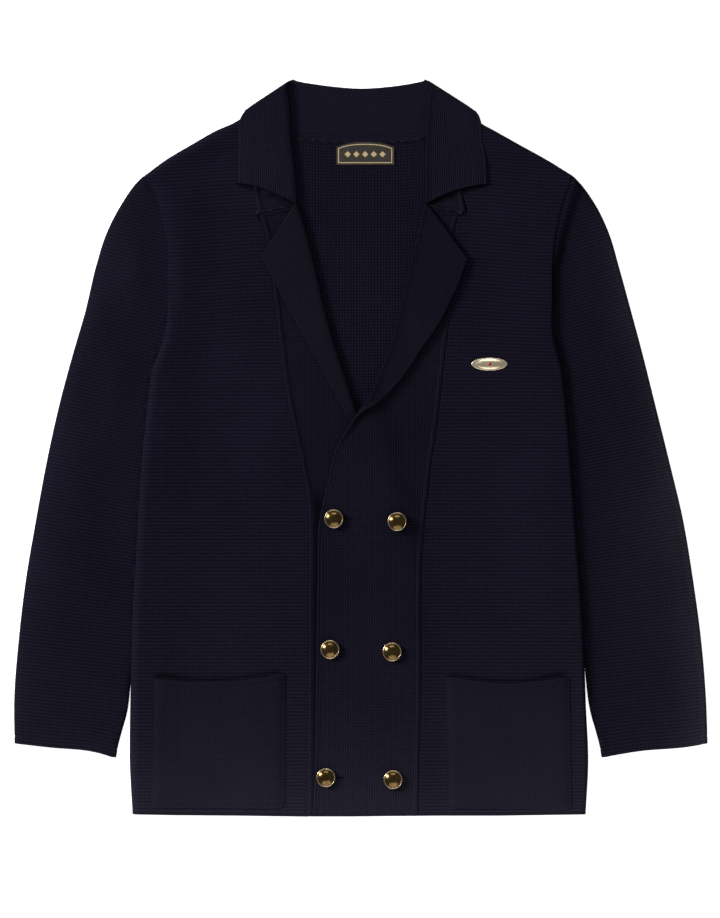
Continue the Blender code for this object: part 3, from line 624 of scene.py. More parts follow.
ROLLS = {"right": 9.5, "left": 3.5}  # how far in from its outer edge a front has rolled up level
SEAM_ROLL = 1.0  # the same where the sleeve is linked to it
ROLL_TURN = np.radians([0, 15, 30, 45, 60, 75, 90])
PUFF = {"right": 5.4, "left": 5.6}  # what the rolled edge stands above the rest
PUFF_SEAM, PUFF_HEM = 4.0, 0.4  # the same at the armhole, and the share of it at the hem
PUFF_WIDTH = {"right": 52.0, "left": 75.0}  # how soon it is level
PUFF_RISE = 90.0  # height above the hem by which there is all of it
PUFF_END = 0.2  # the share of its fall that is a soft end
RAMP = {"right": 0.1, "left": 1.0}  # what of it there is right at the armhole seam
RAMP_WIDTH = 13.0  # and how soon there is all of it
ARMHOLE_PAINTED_SHADES = {"right": 0.2, "left": 0.6}  # painted shade on the front at the armhole seam
PUFF_STEPS = np.array([2.0, 5.0, 9.0, 14.0, 20.0, 28.0])  # columns past the roll
LEAF_PAINTED_SHADE, MOUTH_PAINTED_SHADE, HEM_PAINTED_SHADE = 0.75, 0.7, 0.7  # painted shade in the gaps under a leaf, above a mouth, along the hem
SAG, SAG_WIDTH = 6.0, 110.0  # how far the ribs sag towards the armhole
SAG_START, SAG_RISE = 430.0, 150.0  # and the height where they start to
NARROW = 70.0  # width below which a front stands up less


def edge_puff(side, from_edge, height):
    """How far a front stands up towards its outer edge: most at the edge, then a straight fall with
    a soft end, and less of it near the hem."""
    most = PUFF[side] + (PUFF_SEAM - PUFF[side]) * smooth((height - LINKED) / 60)
    fall = from_edge / PUFF_WIDTH[side]
    soft_end = PUFF_END * (1 - smooth((fall - 1 + PUFF_END) / (2 * PUFF_END))) ** 2
    share = np.where(fall < 1 - PUFF_END, 1 - fall, soft_end)
    return most * share * (PUFF_HEM + (1 - PUFF_HEM) * smooth(height / PUFF_RISE))


BANDS = {"right": BAND_RIGHT, "left": BAND_LEFT}
RESTS = {"right": front_height, "left": over_front_height}
length = np.append(EDGE_STEPS[:-1], np.arange(1.4, FRONT_TOP, FRONT_PITCH / ROWS_PER_RIB))
from_hem = length[:, None]
for side, sign in SIGNS.items():
    ridge = table(BANDS[side])[::-1, 0:2]
    collar = table(COLLAR)[~turned, 0:2]
    neck_side = collar[collar[:, 0] * sign > 0]
    neck_side = neck_side[np.argsort(neck_side[:, 1])]
    inner_edge = evenly(np.vstack([ridge, neck_side]), 2 * FINE_STEPS)
    inner_x = np.interp(length, inner_edge[:, 1], inner_edge[:, 0]) - sign * OVERLAP
    outer_x = edge_x((SIDES, ARMHOLES, SHOULDERS), COLUMNS[side], length)
    width = np.maximum((inner_x - outer_x) * -sign, 0.4)[:, None]
    slope = np.gradient(outer_x, length)[:, None]
    linked = armhole_share(length)[:, None]
    roll = ROLLS[side] + (SEAM_ROLL - ROLLS[side]) * linked
    roll = np.minimum(roll * np.sqrt(1 + slope**2), 0.4 * width)
    left_over = width - roll
    past_roll = np.minimum(PUFF_STEPS, 0.4 * left_over * np.linspace(0, 1, len(PUFF_STEPS) + 1)[1:])
    inner_steps = np.minimum(EDGE_STEPS, 0.2 * left_over * np.linspace(0, 1, len(EDGE_STEPS)))
    shares = np.linspace(0, 1, FRONT_COLUMNS + 1)[1:-1]
    level_width = left_over - inner_steps[:, -1:] - past_roll[:, -1:]
    level = np.hstack([
        roll + past_roll,
        roll + past_roll[:, -1:] + level_width * shares,
        width - inner_steps[:, ::-1],
    ])
    thick = np.minimum(WALL, 0.5 * roll)
    gaps = np.hstack([roll * (1 - np.cos(ROLL_TURN)), level])
    gaps_inside = np.hstack([roll - (roll - thick) * np.cos(ROLL_TURN), level])
    from_side = width - gaps
    drop = edge_drop(np.minimum(from_side, from_hem))
    puff = edge_puff(side, gaps, from_hem) * smooth(width / NARROW)
    ramp = np.clip(RAMP[side] + (1 - RAMP[side]) * gaps / RAMP_WIDTH, 0, 1)
    puff = puff * (1 - linked * (1 - ramp))
    hem_height = np.interp(outer_x[0] - sign * gaps[0], *table(HEM).T)
    height = from_hem + hem_height * (1 - smooth(from_hem / HEM_BEND))
    sag = SAG * (1 - smooth(gaps / SAG_WIDTH)) * smooth((from_hem - SAG_START) / SAG_RISE)
    course = from_hem + sag
    rib = FRONT_RIB * np.sin(2 * math.pi * course / FRONT_PITCH)
    rib = rib * (HEM_RIB + (1 - HEM_RIB) * smooth(from_hem / RIB_FULL))
    rib = rib * smooth((from_hem - RIB_START) / 4) * smooth(from_side / 3) * smooth(gaps / 9)
    skins = []
    for across, outside in ((gaps, 1), (gaps_inside, 0)):
        plan = np.dstack([outer_x[:, None] - sign * across, height])
        top = RESTS[side](plan) + puff - MOUTH_TROUGH * mouth_gap(plan, side)
        top = top + (WALL - drop + rib + hem_relief(from_hem) if outside else drop)
        foot = back_height(plan) + WALL + SEAM_GAP
        foot = foot + linked * np.maximum(top[:, :1] - foot - SEAM_ROLL, 0)
        curl = np.ones_like(gaps)
        curl[:, : len(ROLL_TURN)] = np.sin(ROLL_TURN)
        skins.append(np.dstack([plan, foot + (top - foot) * curl]))
    loops = np.dstack([skins[0][..., 0], course])
    plan = skins[0][..., :2]
    # Painted shade: darker at the armhole seam, above the pocket's mouth, along the hem and under the collar
    # leaf's ends.
    painted_shade = ARMHOLE_PAINTED_SHADES[side] * linked * bell(gaps, 0.8)
    for other in (MOUTH_PAINTED_SHADE * mouth_gap(plan, side), HEM_PAINTED_SHADE * bell(from_hem, 2.2), painted_shade_under_leaf(plan)):
        painted_shade = np.maximum(painted_shade, other)
    # Painted light: paler towards the hem.
    pale_tone_and_painted_light = hem_painted_light(length)[:, None]
    front = shell(f"front_panel_{side}", *skins, loops, front_knit, painted_shade=painted_shade, pale_tone_and_painted_light=pale_tone_and_painted_light)
    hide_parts(f"front_{side}")

# ---------------------------------------------------------------------------------------------------
# Front bands with their lapels. Each is one strip of finer, smoother knit, linked to its front under
# a raised welt. It is turned over on the roll line, so that its own wales slant on the lapel. The
# wearer's left band lies on the other.
# ---------------------------------------------------------------------------------------------------
SPRING, SPRING_SLOPE = 1.6, 0.045  # how far a lapel stands off, at most and per mm
DROOP, DROOP_WIDTH = 0.9, 14.0  # how far the collar leaf's edge hangs down instead, past its seam
FOLD_PAINTED_SHADE, FOLD_SHADE = 0.4, 3.6  # painted shade inside a fold, and how far from it
WELT_WIDTH, WELT_HEIGHT = 6.8, 0.88  # the raised welt along a seam
WELT_GROOVE = 0.12  # the groove between the welt and the strip
LEAF_BEAD, EDGE_BEAD = 0.1, 0.24  # how far a leaf's edge and an open edge are thickened
EDGE_TURN = 1.5  # what is left of the lapel where the fold opens into the front edge
TURN_RADIUS = (WALL + FOLD) / 2  # radius of a fold, to the middle of the wall
NEARLY_FLAT = 0.05  # the least turn of a fold, in radians
WELT_STEPS = np.array([0, 0.12, 0.45, 0.9, 1.6, 2.4, 3.3, 4.2, 5.1, 5.9, 6.6, 7.4, 8.4])
BOTH_CURVES = math.sqrt(2)  # sections are placed by the length of their seam and fold together
CLOSE_MARGIN = WELT_STEPS[-1] * BOTH_CURVES
LEAF_STEPS = np.array([0, 0.12, 0.45, 0.9, 1.5, 2.3, 3.4, 4.6])
BAND_ROWS = 190
GORGE_WELT = 8.0  # how far in from a lapel's end the welt there reaches
LAPEL_PAINTED_LIGHT, LAPEL_FOOT = 0.09, 400.0  # painted light on the wearer's right lapel, and its lower end
GROOVE_PAINTED_SHADE, BAND_GAP_PAINTED_SHADE = 0.3, 0.78  # painted shade in the welt's grooves, and in the gap between the bands
GAP_END, GAP_TOP, HEM_GAP = 17.0, 330.0, 0.2  # how wide and how high that painted shade in the gap is, and its share at the hem
BAND_FLAT, BAND_TURN, BAND_LEAF = 20, 10, 14  # columns
ROLL_LINES = {"right": 15.4, "left": 16.2}  # degrees off vertical


def welt(distance):
    """The raised welt beside a seam, half a wave of a sine, and the groove on its far side, a bell."""
    share = np.clip((distance - 0.3) / (WELT_WIDTH - 0.3), 0, 1)
    return WELT_HEIGHT * np.sin(math.pi * share) ** 1.3 - WELT_GROOVE * bell(distance - WELT_WIDTH - 0.6, 0.6)


def to_outside(inward):
    """Each direction turned by a right angle, towards the neck's outer side, which is upwards."""
    outward = inward[:, ::-1] * [-1, 1]
    return outward * np.where(outward[:, 1:] < 0, -1, 1)


def read_sections(rows, knots, at, straight, last_steps, margins):
    """A strip's sections at these distances along it, smooth through the rows but for the column that
    is straight between them. WELT_STEPS place those inside the first margin, and their first
    last_steps those inside the second. Also returns where each section is, and how far it is from
    the nearer end, as a column."""
    close = WELT_STEPS * BOTH_CURVES
    at = at[(at > margins[0]) & (at < knots[-1] - margins[1])]
    at = np.concatenate([close, at, knots[-1] - close[last_steps - 1 :: -1]])
    read = hermite(knots, rows, at)
    read[:, straight] = np.interp(at, knots, rows[:, straight])
    return read, at / BOTH_CURVES, np.minimum(at, knots[-1] - at)[:, None] / BOTH_CURVES


def strip_skins(rows, from_end, columns, height, across_rib=0, lapel=True):
    """Both skins of a strip with a fold, a section for each row: the flat part from the seam to the
    fold, the turn round the fold, and the leaf that lies back over the flat part.

    In a section, d runs from the fold's centre to the seam and b from the flat part to the leaf.
    Skins lie half a wall to each side of the middle line, less by an edge. Roll tips b over from up
    to down, round the shoulder. A turn under 180 opens the fold. Across_rib adds ribs that run along
    the strip: a sine over the columns. A lapel springs up off its front, and its strip has a welt
    along the gorge; a collar leaf's edge hangs down. Also returns how far each column is from the
    seam, which columns are on the leaf, and the painted shade inside the fold on its inner side."""
    seam, fold, leaf = rows[:, 0:2], rows[:, 2:4], rows[:, 4:6]
    roll, bow = np.radians(rows[:, 6:7]), rows[:, 7:8]
    turn = np.maximum(np.radians(rows[:, 8:9]), NEARLY_FLAT)
    flat_count, turn_count, leaf_count = columns
    inward = unit(seam - fold)
    outward = to_outside(inward)
    upright = (1 + np.cos(roll)) / 2
    closed = smooth((turn / math.pi - 0.6) / 0.4)
    radius = TURN_RADIUS * math.pi / turn
    steps = np.linspace(0, 1, turn_count + 1) * turn
    bent, end = steps[:, 1:], steps[:, -1:]
    reach = (radius * np.sin(np.minimum(steps, math.pi / 2))).max(axis=1, keepdims=True)
    reach += np.where(turn < math.pi / 2, EDGE_TURN * np.cos(turn), WALL / 2)
    centre = fold + inward * reach
    width = np.linalg.norm(seam - centre, axis=1, keepdims=True)
    shares = np.linspace(0, 1, flat_count + 1)[1:]
    flat = np.hstack([width - WELT_STEPS, (width - WELT_STEPS[-1]) * (1 - shares)])
    span = np.linalg.norm(leaf - centre, axis=1, keepdims=True)
    to_leaf = (leaf - centre) / np.maximum(span, 1e-6)
    to_leaf = unit(inward + closed * (to_leaf - inward))
    span = np.maximum(EDGE_TURN, EDGE_TURN + closed * (span - EDGE_TURN))
    edge = np.minimum(LEAF_STEPS, span * np.linspace(0, 0.6, len(LEAF_STEPS)))
    shares = np.linspace(0, 1, leaf_count + 1)[1:]
    from_fold = np.hstack([(span - edge[:, -1:]) * shares, span - edge[:, -2::-1]])
    share = from_fold / span
    from_seam = np.hstack([width - flat, width + radius * bent, width + radius * end + from_fold])
    parts = [flat.shape[1], flat.shape[1] + turn_count]
    is_leaf = np.arange(from_seam.shape[1]) >= parts[0]
    from_leaf_edge = from_seam[:, -1:] - from_seam
    drop = edge_drop(np.minimum(np.minimum(from_seam, from_leaf_edge), from_end))
    bead = bell(from_leaf_edge - 1.5, 1) - bell(from_leaf_edge - 3.4, 1) * (0.3 + 0.3 * closed)
    thick = WALL / 2 - drop + bead * (EDGE_BEAD + (LEAF_BEAD - EDGE_BEAD) * closed)
    ribs = across_rib * smooth((from_seam - WELT_STEPS[-1]) / 3) * smooth(from_leaf_edge / 3)
    ribs = ribs * smooth(from_end / 4)
    skins = []
    for side in (1, -1):  # away from the fold's centre, then towards it
        half_flat, half_turn, half_leaf = np.hsplit(side * (thick + ribs), parts)
        rise = 0 * flat
        if side < 0:
            rise = welt(width - flat)
            if lapel:
                gorge = welt(from_end) * (from_end < GORGE_WELT)
                rise = np.maximum(rise, gorge)
                rise = np.where((gorge < 0) & (rise < 0.01), gorge, rise)
        flat_d = np.hstack([flat, -(radius + half_turn) * np.sin(bent)])
        leaf_d = -(radius + half_leaf) * np.sin(end) - np.cos(end) * from_fold
        flat_b = np.hstack([rise - half_flat, radius - (radius + half_turn) * np.cos(bent)])
        leaf_b = radius - (radius + half_leaf) * np.cos(end) + np.sin(end) * from_fold
        if lapel:
            leaf_b = leaf_b + np.minimum(SPRING, SPRING_SLOPE * span) * upright * closed * share
        else:
            leaf_b = leaf_b - DROOP * upright * smooth((from_fold - span + DROOP_WIDTH) / DROOP_WIDTH)
        bowed = (4 * bow * share * (1 - share))[..., None] * [0, 1]
        plan = np.concatenate([
            centre[:, None] + inward[:, None] * flat_d[..., None],
            centre[:, None] + to_leaf[:, None] * leaf_d[..., None] + bowed,
        ], axis=1)
        b = np.hstack([flat_b, leaf_b]) - TURN_RADIUS
        level = upright * height(plan) + WALL / 2 + TURN_RADIUS
        plan = plan + (b * np.sin(roll))[..., None] * outward[:, None]
        skins.append(np.dstack([plan, level + b * np.cos(roll)]))
    # Painted shade inside the fold, fading away along the leaf.
    fold_painted_shade = FOLD_PAINTED_SHADE * closed * np.hstack([0 * flat, 0 * bent + 1, bell(from_fold, FOLD_SHADE)])
    return skins, from_seam, is_leaf, fold_painted_shade


def groove_painted_shade(from_seam):
    """Painted shade in the two grooves beside a strip's welt: a bell on each."""
    return GROOVE_PAINTED_SHADE * np.maximum(bell(from_seam, 0.8), 0.6 * bell(from_seam - WELT_WIDTH - 0.5, 0.8))


def painted_shade_between_bands(from_seam, height):
    """Painted shade on the under band in the gap between its welt and the over band's edge."""
    gap = smooth((from_seam - WELT_WIDTH + 0.6) / 1.2) * (1 - smooth((from_seam - GAP_END) / 3))
    gap = BAND_GAP_PAINTED_SHADE * gap * (1 - smooth((height - GAP_TOP) / 40))
    return gap * (HEM_GAP + (1 - HEM_GAP) * smooth((height - 30) / 90))


# A firmer knit with closer loops, which looks smoother than the fronts.
band_knit = knit_material("wool_knit_smooth", "#080712", "#181621", 2.9, 2.6, (0.1, 0.17, 0.35), (0.18, 0.3))
for side, sign in SIGNS.items():
    rows = table(BANDS[side])
    rows = np.hstack([rows[:, :6], np.zeros((len(rows), 2)), rows[:, 6:]])
    knots = along(rows[:, 0:4])
    at = np.interp(np.linspace(0, len(rows) - 1, BAND_ROWS), np.arange(len(rows)), knots)
    read, at, from_end = read_sections(rows, knots, at, 8, 4, (CLOSE_MARGIN + 1, 4))
    columns = (BAND_FLAT, BAND_TURN, BAND_LEAF)
    skins, from_seam, is_leaf, fold_painted_shade = strip_skins(read, from_end, columns, RESTS[side])
    middle = ((skins[0] + skins[1]) / 2)[..., :2]
    slant = math.radians(ROLL_LINES[side])
    normal = np.array([math.cos(slant), -sign * math.sin(slant)])
    past = ((middle - read[:, None, 2:4]) * normal).sum(-1) * is_leaf
    loops = middle - 2 * past[..., None] * normal
    # Painted shade: in the welt's grooves, inside the fold and along the hem, and on the under band in the
    # gap under the over band's edge.
    painted_shade = np.maximum(groove_painted_shade(from_seam), fold_painted_shade)
    painted_shade = np.maximum(painted_shade, HEM_PAINTED_SHADE * bell(middle[..., 1], 2.4))
    # Painted light: paler towards the hem, and on the wearer's right lapel.
    pale_tone_and_painted_light = hem_painted_light(middle[..., 1])
    if side == "right":
        painted_shade = np.maximum(painted_shade, painted_shade_between_bands(from_seam, middle[..., 1]))
        pale_tone_and_painted_light = np.maximum(pale_tone_and_painted_light, LAPEL_PAINTED_LIGHT * is_leaf * smooth((middle[..., 1] - LAPEL_FOOT) / 60))
    strip = shell(f"band_strip_{side}", *skins, loops, band_knit, painted_shade=painted_shade, pale_tone_and_painted_light=pale_tone_and_painted_light)
    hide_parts(f"band_{side}")

# ---------------------------------------------------------------------------------------------------
# Collar. One strip of fine rib whose ribs run round the neck. It is linked to the neck under a welt,
# stands up to its fold, and turns down over the shoulders and behind the neck.
# ---------------------------------------------------------------------------------------------------
SHOULDER_RADIUS = -0.8  # how far the collar's fold travels round the shoulder
COLLAR_ROWS, SHOULDER_ROWS = 3, 20  # sections between two rows of the table, and at each shoulder
COLLAR_FLAT, COLLAR_TURN, COLLAR_LEAF = 80, 12, 100  # columns
COLLAR_PITCH, COLLAR_RIB = 2.5, 0.08
GORGE_REACH = 40.0  # how far the painted shade under the leaf's end reaches from the collar's seam and end

# Fine rib: close light and dark lines that run round the neck.
collar_knit = knit_material("wool_rib_fine", "#0b0a15", "#1c1926", COLLAR_PITCH, 2.6, (0.2, 0.08, 0.35))
rows = np.hstack([table(COLLAR), np.full((len(COLLAR), 1), 180.0)])
knots = along(rows[:, 0:4])
knots += np.arange(len(knots)) * 0.01
at = [[0]]
for number in range(len(rows) - 1):
    rolls = rows[number, 6] != rows[number + 1, 6]
    count = SHOULDER_ROWS if rolls else COLLAR_ROWS
    at.append(np.linspace(knots[number], knots[number + 1], count + 1)[1:])
at = np.concatenate(at)
read, at, from_end = read_sections(
    rows, knots, at, 6, len(WELT_STEPS), (CLOSE_MARGIN, CLOSE_MARGIN)
)
outward = to_outside(unit(read[:, 0:2] - read[:, 2:4]))
read[:, 0:6] += np.tile(outward * SHOULDER_RADIUS * np.sin(np.radians(read[:, 6:7])), 3)
count = len(WELT_STEPS) + COLLAR_FLAT + COLLAR_TURN + COLLAR_LEAF + len(LEAF_STEPS) - 1
phase = (np.arange(count) - len(WELT_STEPS)) / ROWS_PER_RIB
across_rib = COLLAR_RIB * np.sin(2 * math.pi * phase)
columns = (COLLAR_FLAT, COLLAR_TURN, COLLAR_LEAF)
skins, from_seam, is_leaf, fold_painted_shade = strip_skins(
    read, from_end, columns, front_height, across_rib, lapel=False
)
loops = np.dstack([
    np.broadcast_to(at[:, None], from_seam.shape),
    np.broadcast_to(phase * COLLAR_PITCH, from_seam.shape),
])
plan = ((skins[0] + skins[1]) / 2)[..., :2]
# Painted shade: in the welt's grooves, inside the fold where the leaf lies on top, and under the leaf's ends.
painted_shade = np.maximum(groove_painted_shade(from_seam), fold_painted_shade * (read[:, 6:7] < 90))
near_gorge = (from_seam < GORGE_REACH) & (from_end < GORGE_REACH)
painted_shade = np.maximum(painted_shade, painted_shade_under_leaf(plan) * near_gorge)
collar = shell("collar_strip", *skins, loops, collar_knit, painted_shade=painted_shade)
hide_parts("collar")

# ---------------------------------------------------------------------------------------------------
# Sleeves. Each is a tube of ribbed knit, closed by one seam along its inner edge and set into the
# armhole. It lies flat beside the body. Its ribs run straight across it, and its cuff is turned.
# ---------------------------------------------------------------------------------------------------
SLEEVE_PITCH, SLEEVE_RIB = 3.6, 0.09
SLEEVE_TURN, SLEEVE_UPPER, SLEEVE_LOWER = 7, 24, 6  # columns round the tube
SLEEVE_CROWNS = {"right": 2.8, "left": 3.6}  # how far the upper layer stands up
HIGH_CROWNS = {"right": 0.8, "left": 0.25}  # what of that there is by the armhole
HIGH_UP = 600.0  # the height from which the sleeve is level with the shoulder
CROWN_ROUND = 0.5  # the power of the sine by which it rises along the sleeve
# Where across the sleeve it stands highest, from the outer edge: at the cuff and at the armhole.
CROWN_PLACES = {"right": (0.36, 0.36), "left": (0.36, 0.66)}
SEAM_REACH = 2.5  # the turn where it is linked to the body
SEAM_PAINTED_SHADES = {"right": 0.15, "left": 0.75}  # painted shade on the seam itself
SEAM_RISES = {"right": 0.4, "left": 4.2}  # how high it stands there
SEAM_TUCKS = {"right": 2.6, "left": 0.0}  # how far more its inner edge runs under the body's
OUTER_REACH, INNER_REACH = 5.0, 6.0  # how far in from each edge the tube has turned up to level
CUFF_WIDTH, CUFF_GROOVE = 8.5, 0.4  # the turned cuff, and the groove above it
CUFF_BEND = 60.0  # length above the cuff over which the ribs bend to its edge
FOOT_PAINTED_SHADE, FOOT_SHADE = 0.5, 0.36  # painted shade at the foot of its rise to the body, and beside it
EDGE_PAINTED_LIGHT, CUFF_PAINTED_LIGHT = {"right": 0.14, "left": 0.6}, 0.12  # painted light: how much paler its outer edge and cuff are painted
# Sleeve edges, from the armhole to the cuff.
#   height, wearer's right x, wearer's left x
SLEEVE_OUTER = [
    (692, -234.6, 229),
    (686, -241, 235),
    (660, -259.5, 253.8),
    (627.5, -275.8, 269),
    (595, -286, 278.5),
    (546.5, -297.5, 291.8),
    (498, -311.6, 304.8),
    (449, -324.8, 317),
    (384.5, -339.2, 333),
    (320, -351.1, 348.2),
    (255, -362.1, 359),
    (190, -369.8, 367.7),
    (125, -374.6, 373),
    (79, -374.2, 374.6),
]
SLEEVE_INNER = [
    (481, -227.2, 218.2),
    (438, -232.7, 222.7),
    (376, -238.5, 228),
    (294, -243.5, 235),
    (217, -248, 240.5),
    (150, -250.3, 244.5),
    (109, -253.3, 248.9),
    (92.9, -257.6, 253.3),
    (76.7, -261.9, 257.6),
    (63.7, -264.1, 259.7),
]
# The cuffs' edges, from the outer edge to the inner, x and height.
CUFFS = {
    "right": [(-374.2, 79), (-335, 74.5), (-292, 70.5), (-264.1, 63.7)],
    "left": [(374.6, 79), (355, 75.5), (300, 70.5), (259.7, 63.7)],
}
# Where a rib that starts at the outer edge ends at the armhole or the inner edge.
#   height at the outer edge, height at the inner edge
RIB_ENDS = [
    (691.4, 691),
    (660, 648),
    (627.5, 609),
    (595, 573),
    (546.5, 522.5),
    (505.6, 482),
    (449, 427),
    (384.5, 364.5),
    (320, 302),
    (255, 239),
    (190, 177),
    (125, 112),
    (79, 63.7),
]

# The fronts' knit with its ribs a little closer.
sleeve_knit = knit_material("wool_knit_sleeve", "#090813", "#181622", SLEEVE_PITCH, 2.8, (0.15, 0.12, 0.4))
# How wide the sleeve lies level with the body beside the armhole: height, width.
SEAM_SHELF = [(520, 0), (535, 1), (560, 2.5), (590, 4.5), (611, 8.5), (650, 9), (690, 10)]
# Soft swells of the laid sleeves: x, height, half width, half height, rise.
SLEEVE_SWELLS = {
    "right": [
        (-244, 585, 20, 40, 1.6),
        (-262, 530, 22, 36, -1.2),
        (-258, 460, 20, 50, 1.2),
        (-292, 470, 22, 40, -1.0),
        (-305, 390, 26, 50, 1.3),
        (-270, 330, 30, 40, -1.0),
        (-330, 250, 26, 60, 1.0),
        (-290, 200, 36, 40, 0.9),
    ],
    "left": [
        (250, 590, 20, 36, 1.5),
        (268, 535, 20, 26, -1.5),
        (284, 460, 26, 45, 1.5),
        (262, 400, 22, 40, -1.0),
        (300, 380, 26, 40, 0.9),
        (280, 300, 30, 40, -0.9),
        (325, 260, 30, 60, 1.2),
        (290, 170, 36, 40, 0.8),
    ],
}
ends = table(RIB_ENDS)
cuff_share = np.linspace(0, 1, FINE_STEPS)
turn = np.linspace(0, math.pi, SLEEVE_TURN + 1)
upper_share = np.linspace(0, 1, SLEEVE_UPPER + 2)[1:-1]
lower_share = np.linspace(1, 0, SLEEVE_LOWER + 2)[1:-1]
middle = WALL + LAYER / 2
for side, sign in SIGNS.items():
    # The rows run from the outer edge to the armhole or the inner edge, as RIB_ENDS pairs them.
    column = COLUMNS[side]
    outer_curve = evenly(table(SLEEVE_OUTER)[:, [column, 0]], 2 * FINE_STEPS)
    down = along(outer_curve)
    outer_at = np.interp(-ends[:, 0], -outer_curve[:, 1], down)
    armhole = evenly(table(ARMHOLES)[::-1, [column, 0]], FINE_STEPS)
    inner_curve = np.vstack([armhole[:-1], evenly(table(SLEEVE_INNER)[:, [column, 0]], FINE_STEPS)])
    tuck = 1.6 + 0.4 * smooth((LINKED - inner_curve[:, 1]) / 40)
    # It runs a little under the body's edge, but for the part by the cuff that lies clear of it.
    inner_curve[:, 0] -= sign * tuck * smooth((inner_curve[:, 1] - 95) / 60)
    inner_curve[:, 0] -= sign * SEAM_TUCKS[side] * smooth((inner_curve[:, 1] - 130) / 50)
    inner_down = along(inner_curve)
    inner_at = np.interp(-ends[:, 1], -inner_curve[:, 1], inner_down)
    total = down[-1] - outer_at[0]
    at = np.append(np.arange(0, total - 1.3, SLEEVE_PITCH / ROWS_PER_RIB), total - EDGE_STEPS[-2::-1])
    here = outer_at[0] + at
    near = read_along(here, down, outer_curve)
    far = read_along(hermite(outer_at, inner_at[:, None], here)[:, 0], inner_down, inner_curve)
    # The cuff's edge isn't quite straight, and the last rows bend with it.
    cuff_curve = evenly(CUFFS[side], FINE_STEPS)
    cuff_bend = cuff_curve - (cuff_curve[0] + cuff_share[:, None] * (cuff_curve[-1] - cuff_curve[0]))
    from_cuff = (total - at)[:, None]
    down_share = (at / total)[:, None]
    width = np.linalg.norm(far - near, axis=1)[:, None]
    out = (far - near) / width
    linked = armhole_share(far[:, 1])[:, None]
    outer_reach = np.minimum(OUTER_REACH, 0.3 * width)
    inner_reach = np.minimum(INNER_REACH + (SEAM_REACH - INNER_REACH) * linked, 0.4 * width)
    layers = []
    for share in (upper_share, lower_share):
        across = (outer_reach + share * (width - outer_reach - inner_reach)) / width
        plan = near[:, None] + across[..., None] * (far - near)[:, None]
        bent = smooth(1 - from_cuff / CUFF_BEND)[..., None] * read_along(across, cuff_share, cuff_bend)
        layers.append((across, plan + bent))
    (across, upper_plan), (lower_across, lower_plan) = layers
    drop = edge_drop(from_cuff)
    rib = SLEEVE_RIB * np.sin(2 * math.pi * at / SLEEVE_PITCH)[:, None]
    rib = rib * smooth((from_cuff - CUFF_WIDTH) / 3) * smooth(at / 10)[:, None]
    rib = rib - CUFF_GROOVE * bell(from_cuff - CUFF_WIDTH, 0.9)
    # The upper layer's vault, highest at the crown's place, with its swells.
    crown = SLEEVE_CROWNS[side] * np.sin(math.pi * np.clip(down_share, 0, 1)) ** CROWN_ROUND
    crown = crown * (HIGH_CROWNS[side] + (1 - HIGH_CROWNS[side]) * smooth((down_share - 0.3) / 0.4))
    low_place, high_place = CROWN_PLACES[side]
    crown_place = high_place + (low_place - high_place) * smooth((down_share - 0.1) / 0.5)
    outer_part = np.sqrt(1 - (1 - np.minimum(upper_share / crown_place, 1)) ** 2)
    inner_share = np.clip((upper_share - crown_place) / (1 - crown_place), 0, 1)
    vault = crown * np.minimum(outer_part, 0.5 + 0.5 * np.cos(math.pi * inner_share))
    vault = vault + swelling(upper_plan, SLEEVE_SWELLS[side]) * np.sin(math.pi * upper_share) ** 0.7
    # Beside the armhole the sleeve rises to the body over a few millimetres.
    from_seam = (1 - across) * width
    shelf = np.interp(far[:, 1], *table(SEAM_SHELF).T)[:, None]
    high_up = smooth((far[:, 1] - HIGH_UP) / 60)[:, None]
    seam_rise = SEAM_RISES[side] * linked
    vault = vault + seam_rise * (1 - smooth((from_seam - shelf + 2) / (5.5 + 9 * high_up)))
    skins = []
    for radius, outside in ((middle, 1), (middle - WALL, 0)):
        swell = rib - drop if outside else drop
        turns = []
        for edge, inwards, reach in ((near, out, outer_reach), (far, -out, inner_reach)):
            semi = np.maximum(reach - middle + radius, 0.1 * reach)
            tip = reach - (semi + swell) * np.sin(turn)
            turns.append(edge[:, None] + inwards[:, None] * tip[..., None])
        around = np.maximum(middle - (radius + swell) * np.cos(turn), middle - radius)
        inner_around = (around + seam_rise * (1 - np.cos(turn)) / 2)[:, ::-1]
        lower = np.broadcast_to(middle - radius + (drop if outside else -drop), lower_across.shape)
        skins.append(np.concatenate([
            np.dstack([turns[0], around]),
            np.dstack([upper_plan, middle + radius + swell + vault]),
            np.dstack([turns[1], inner_around]),
            np.dstack([lower_plan, lower]),
        ], axis=1))
    level = np.zeros((len(at), len(turn)))
    around_mm = np.hstack([level, across, level + 1, lower_across]) * width
    loops = np.dstack([around_mm, np.broadcast_to(at[:, None], around_mm.shape)])
    to_seam = width - around_mm
    # Painted shade: on the armhole seam, and on the wearer's left sleeve at the foot of its rise to the body
    # and beside it.
    painted_shade = SEAM_PAINTED_SHADES[side] * linked * bell(to_seam, 1.2)
    if side == "left":
        from_foot = to_seam - shelf - 3
        foot = FOOT_PAINTED_SHADE * linked * bell(from_foot, 3)
        shade = FOOT_SHADE * (0.4 + 0.6 * linked) * np.exp(-np.maximum(from_foot, 0) / 13)
        painted_shade = np.maximum(painted_shade, np.maximum(foot, shade) * (1 - high_up))
        # Painted light: paler towards the outer edge, on this sleeve more so lower down.
        low_down = smooth((at - 250) / 150)[:, None]
        pale_tone_and_painted_light = (EDGE_PAINTED_LIGHT[side] + 0.45 * low_down) * np.exp(-around_mm / (15 + 9 * low_down))
    else:
        pale_tone_and_painted_light = EDGE_PAINTED_LIGHT[side] * np.exp(-around_mm / 22)
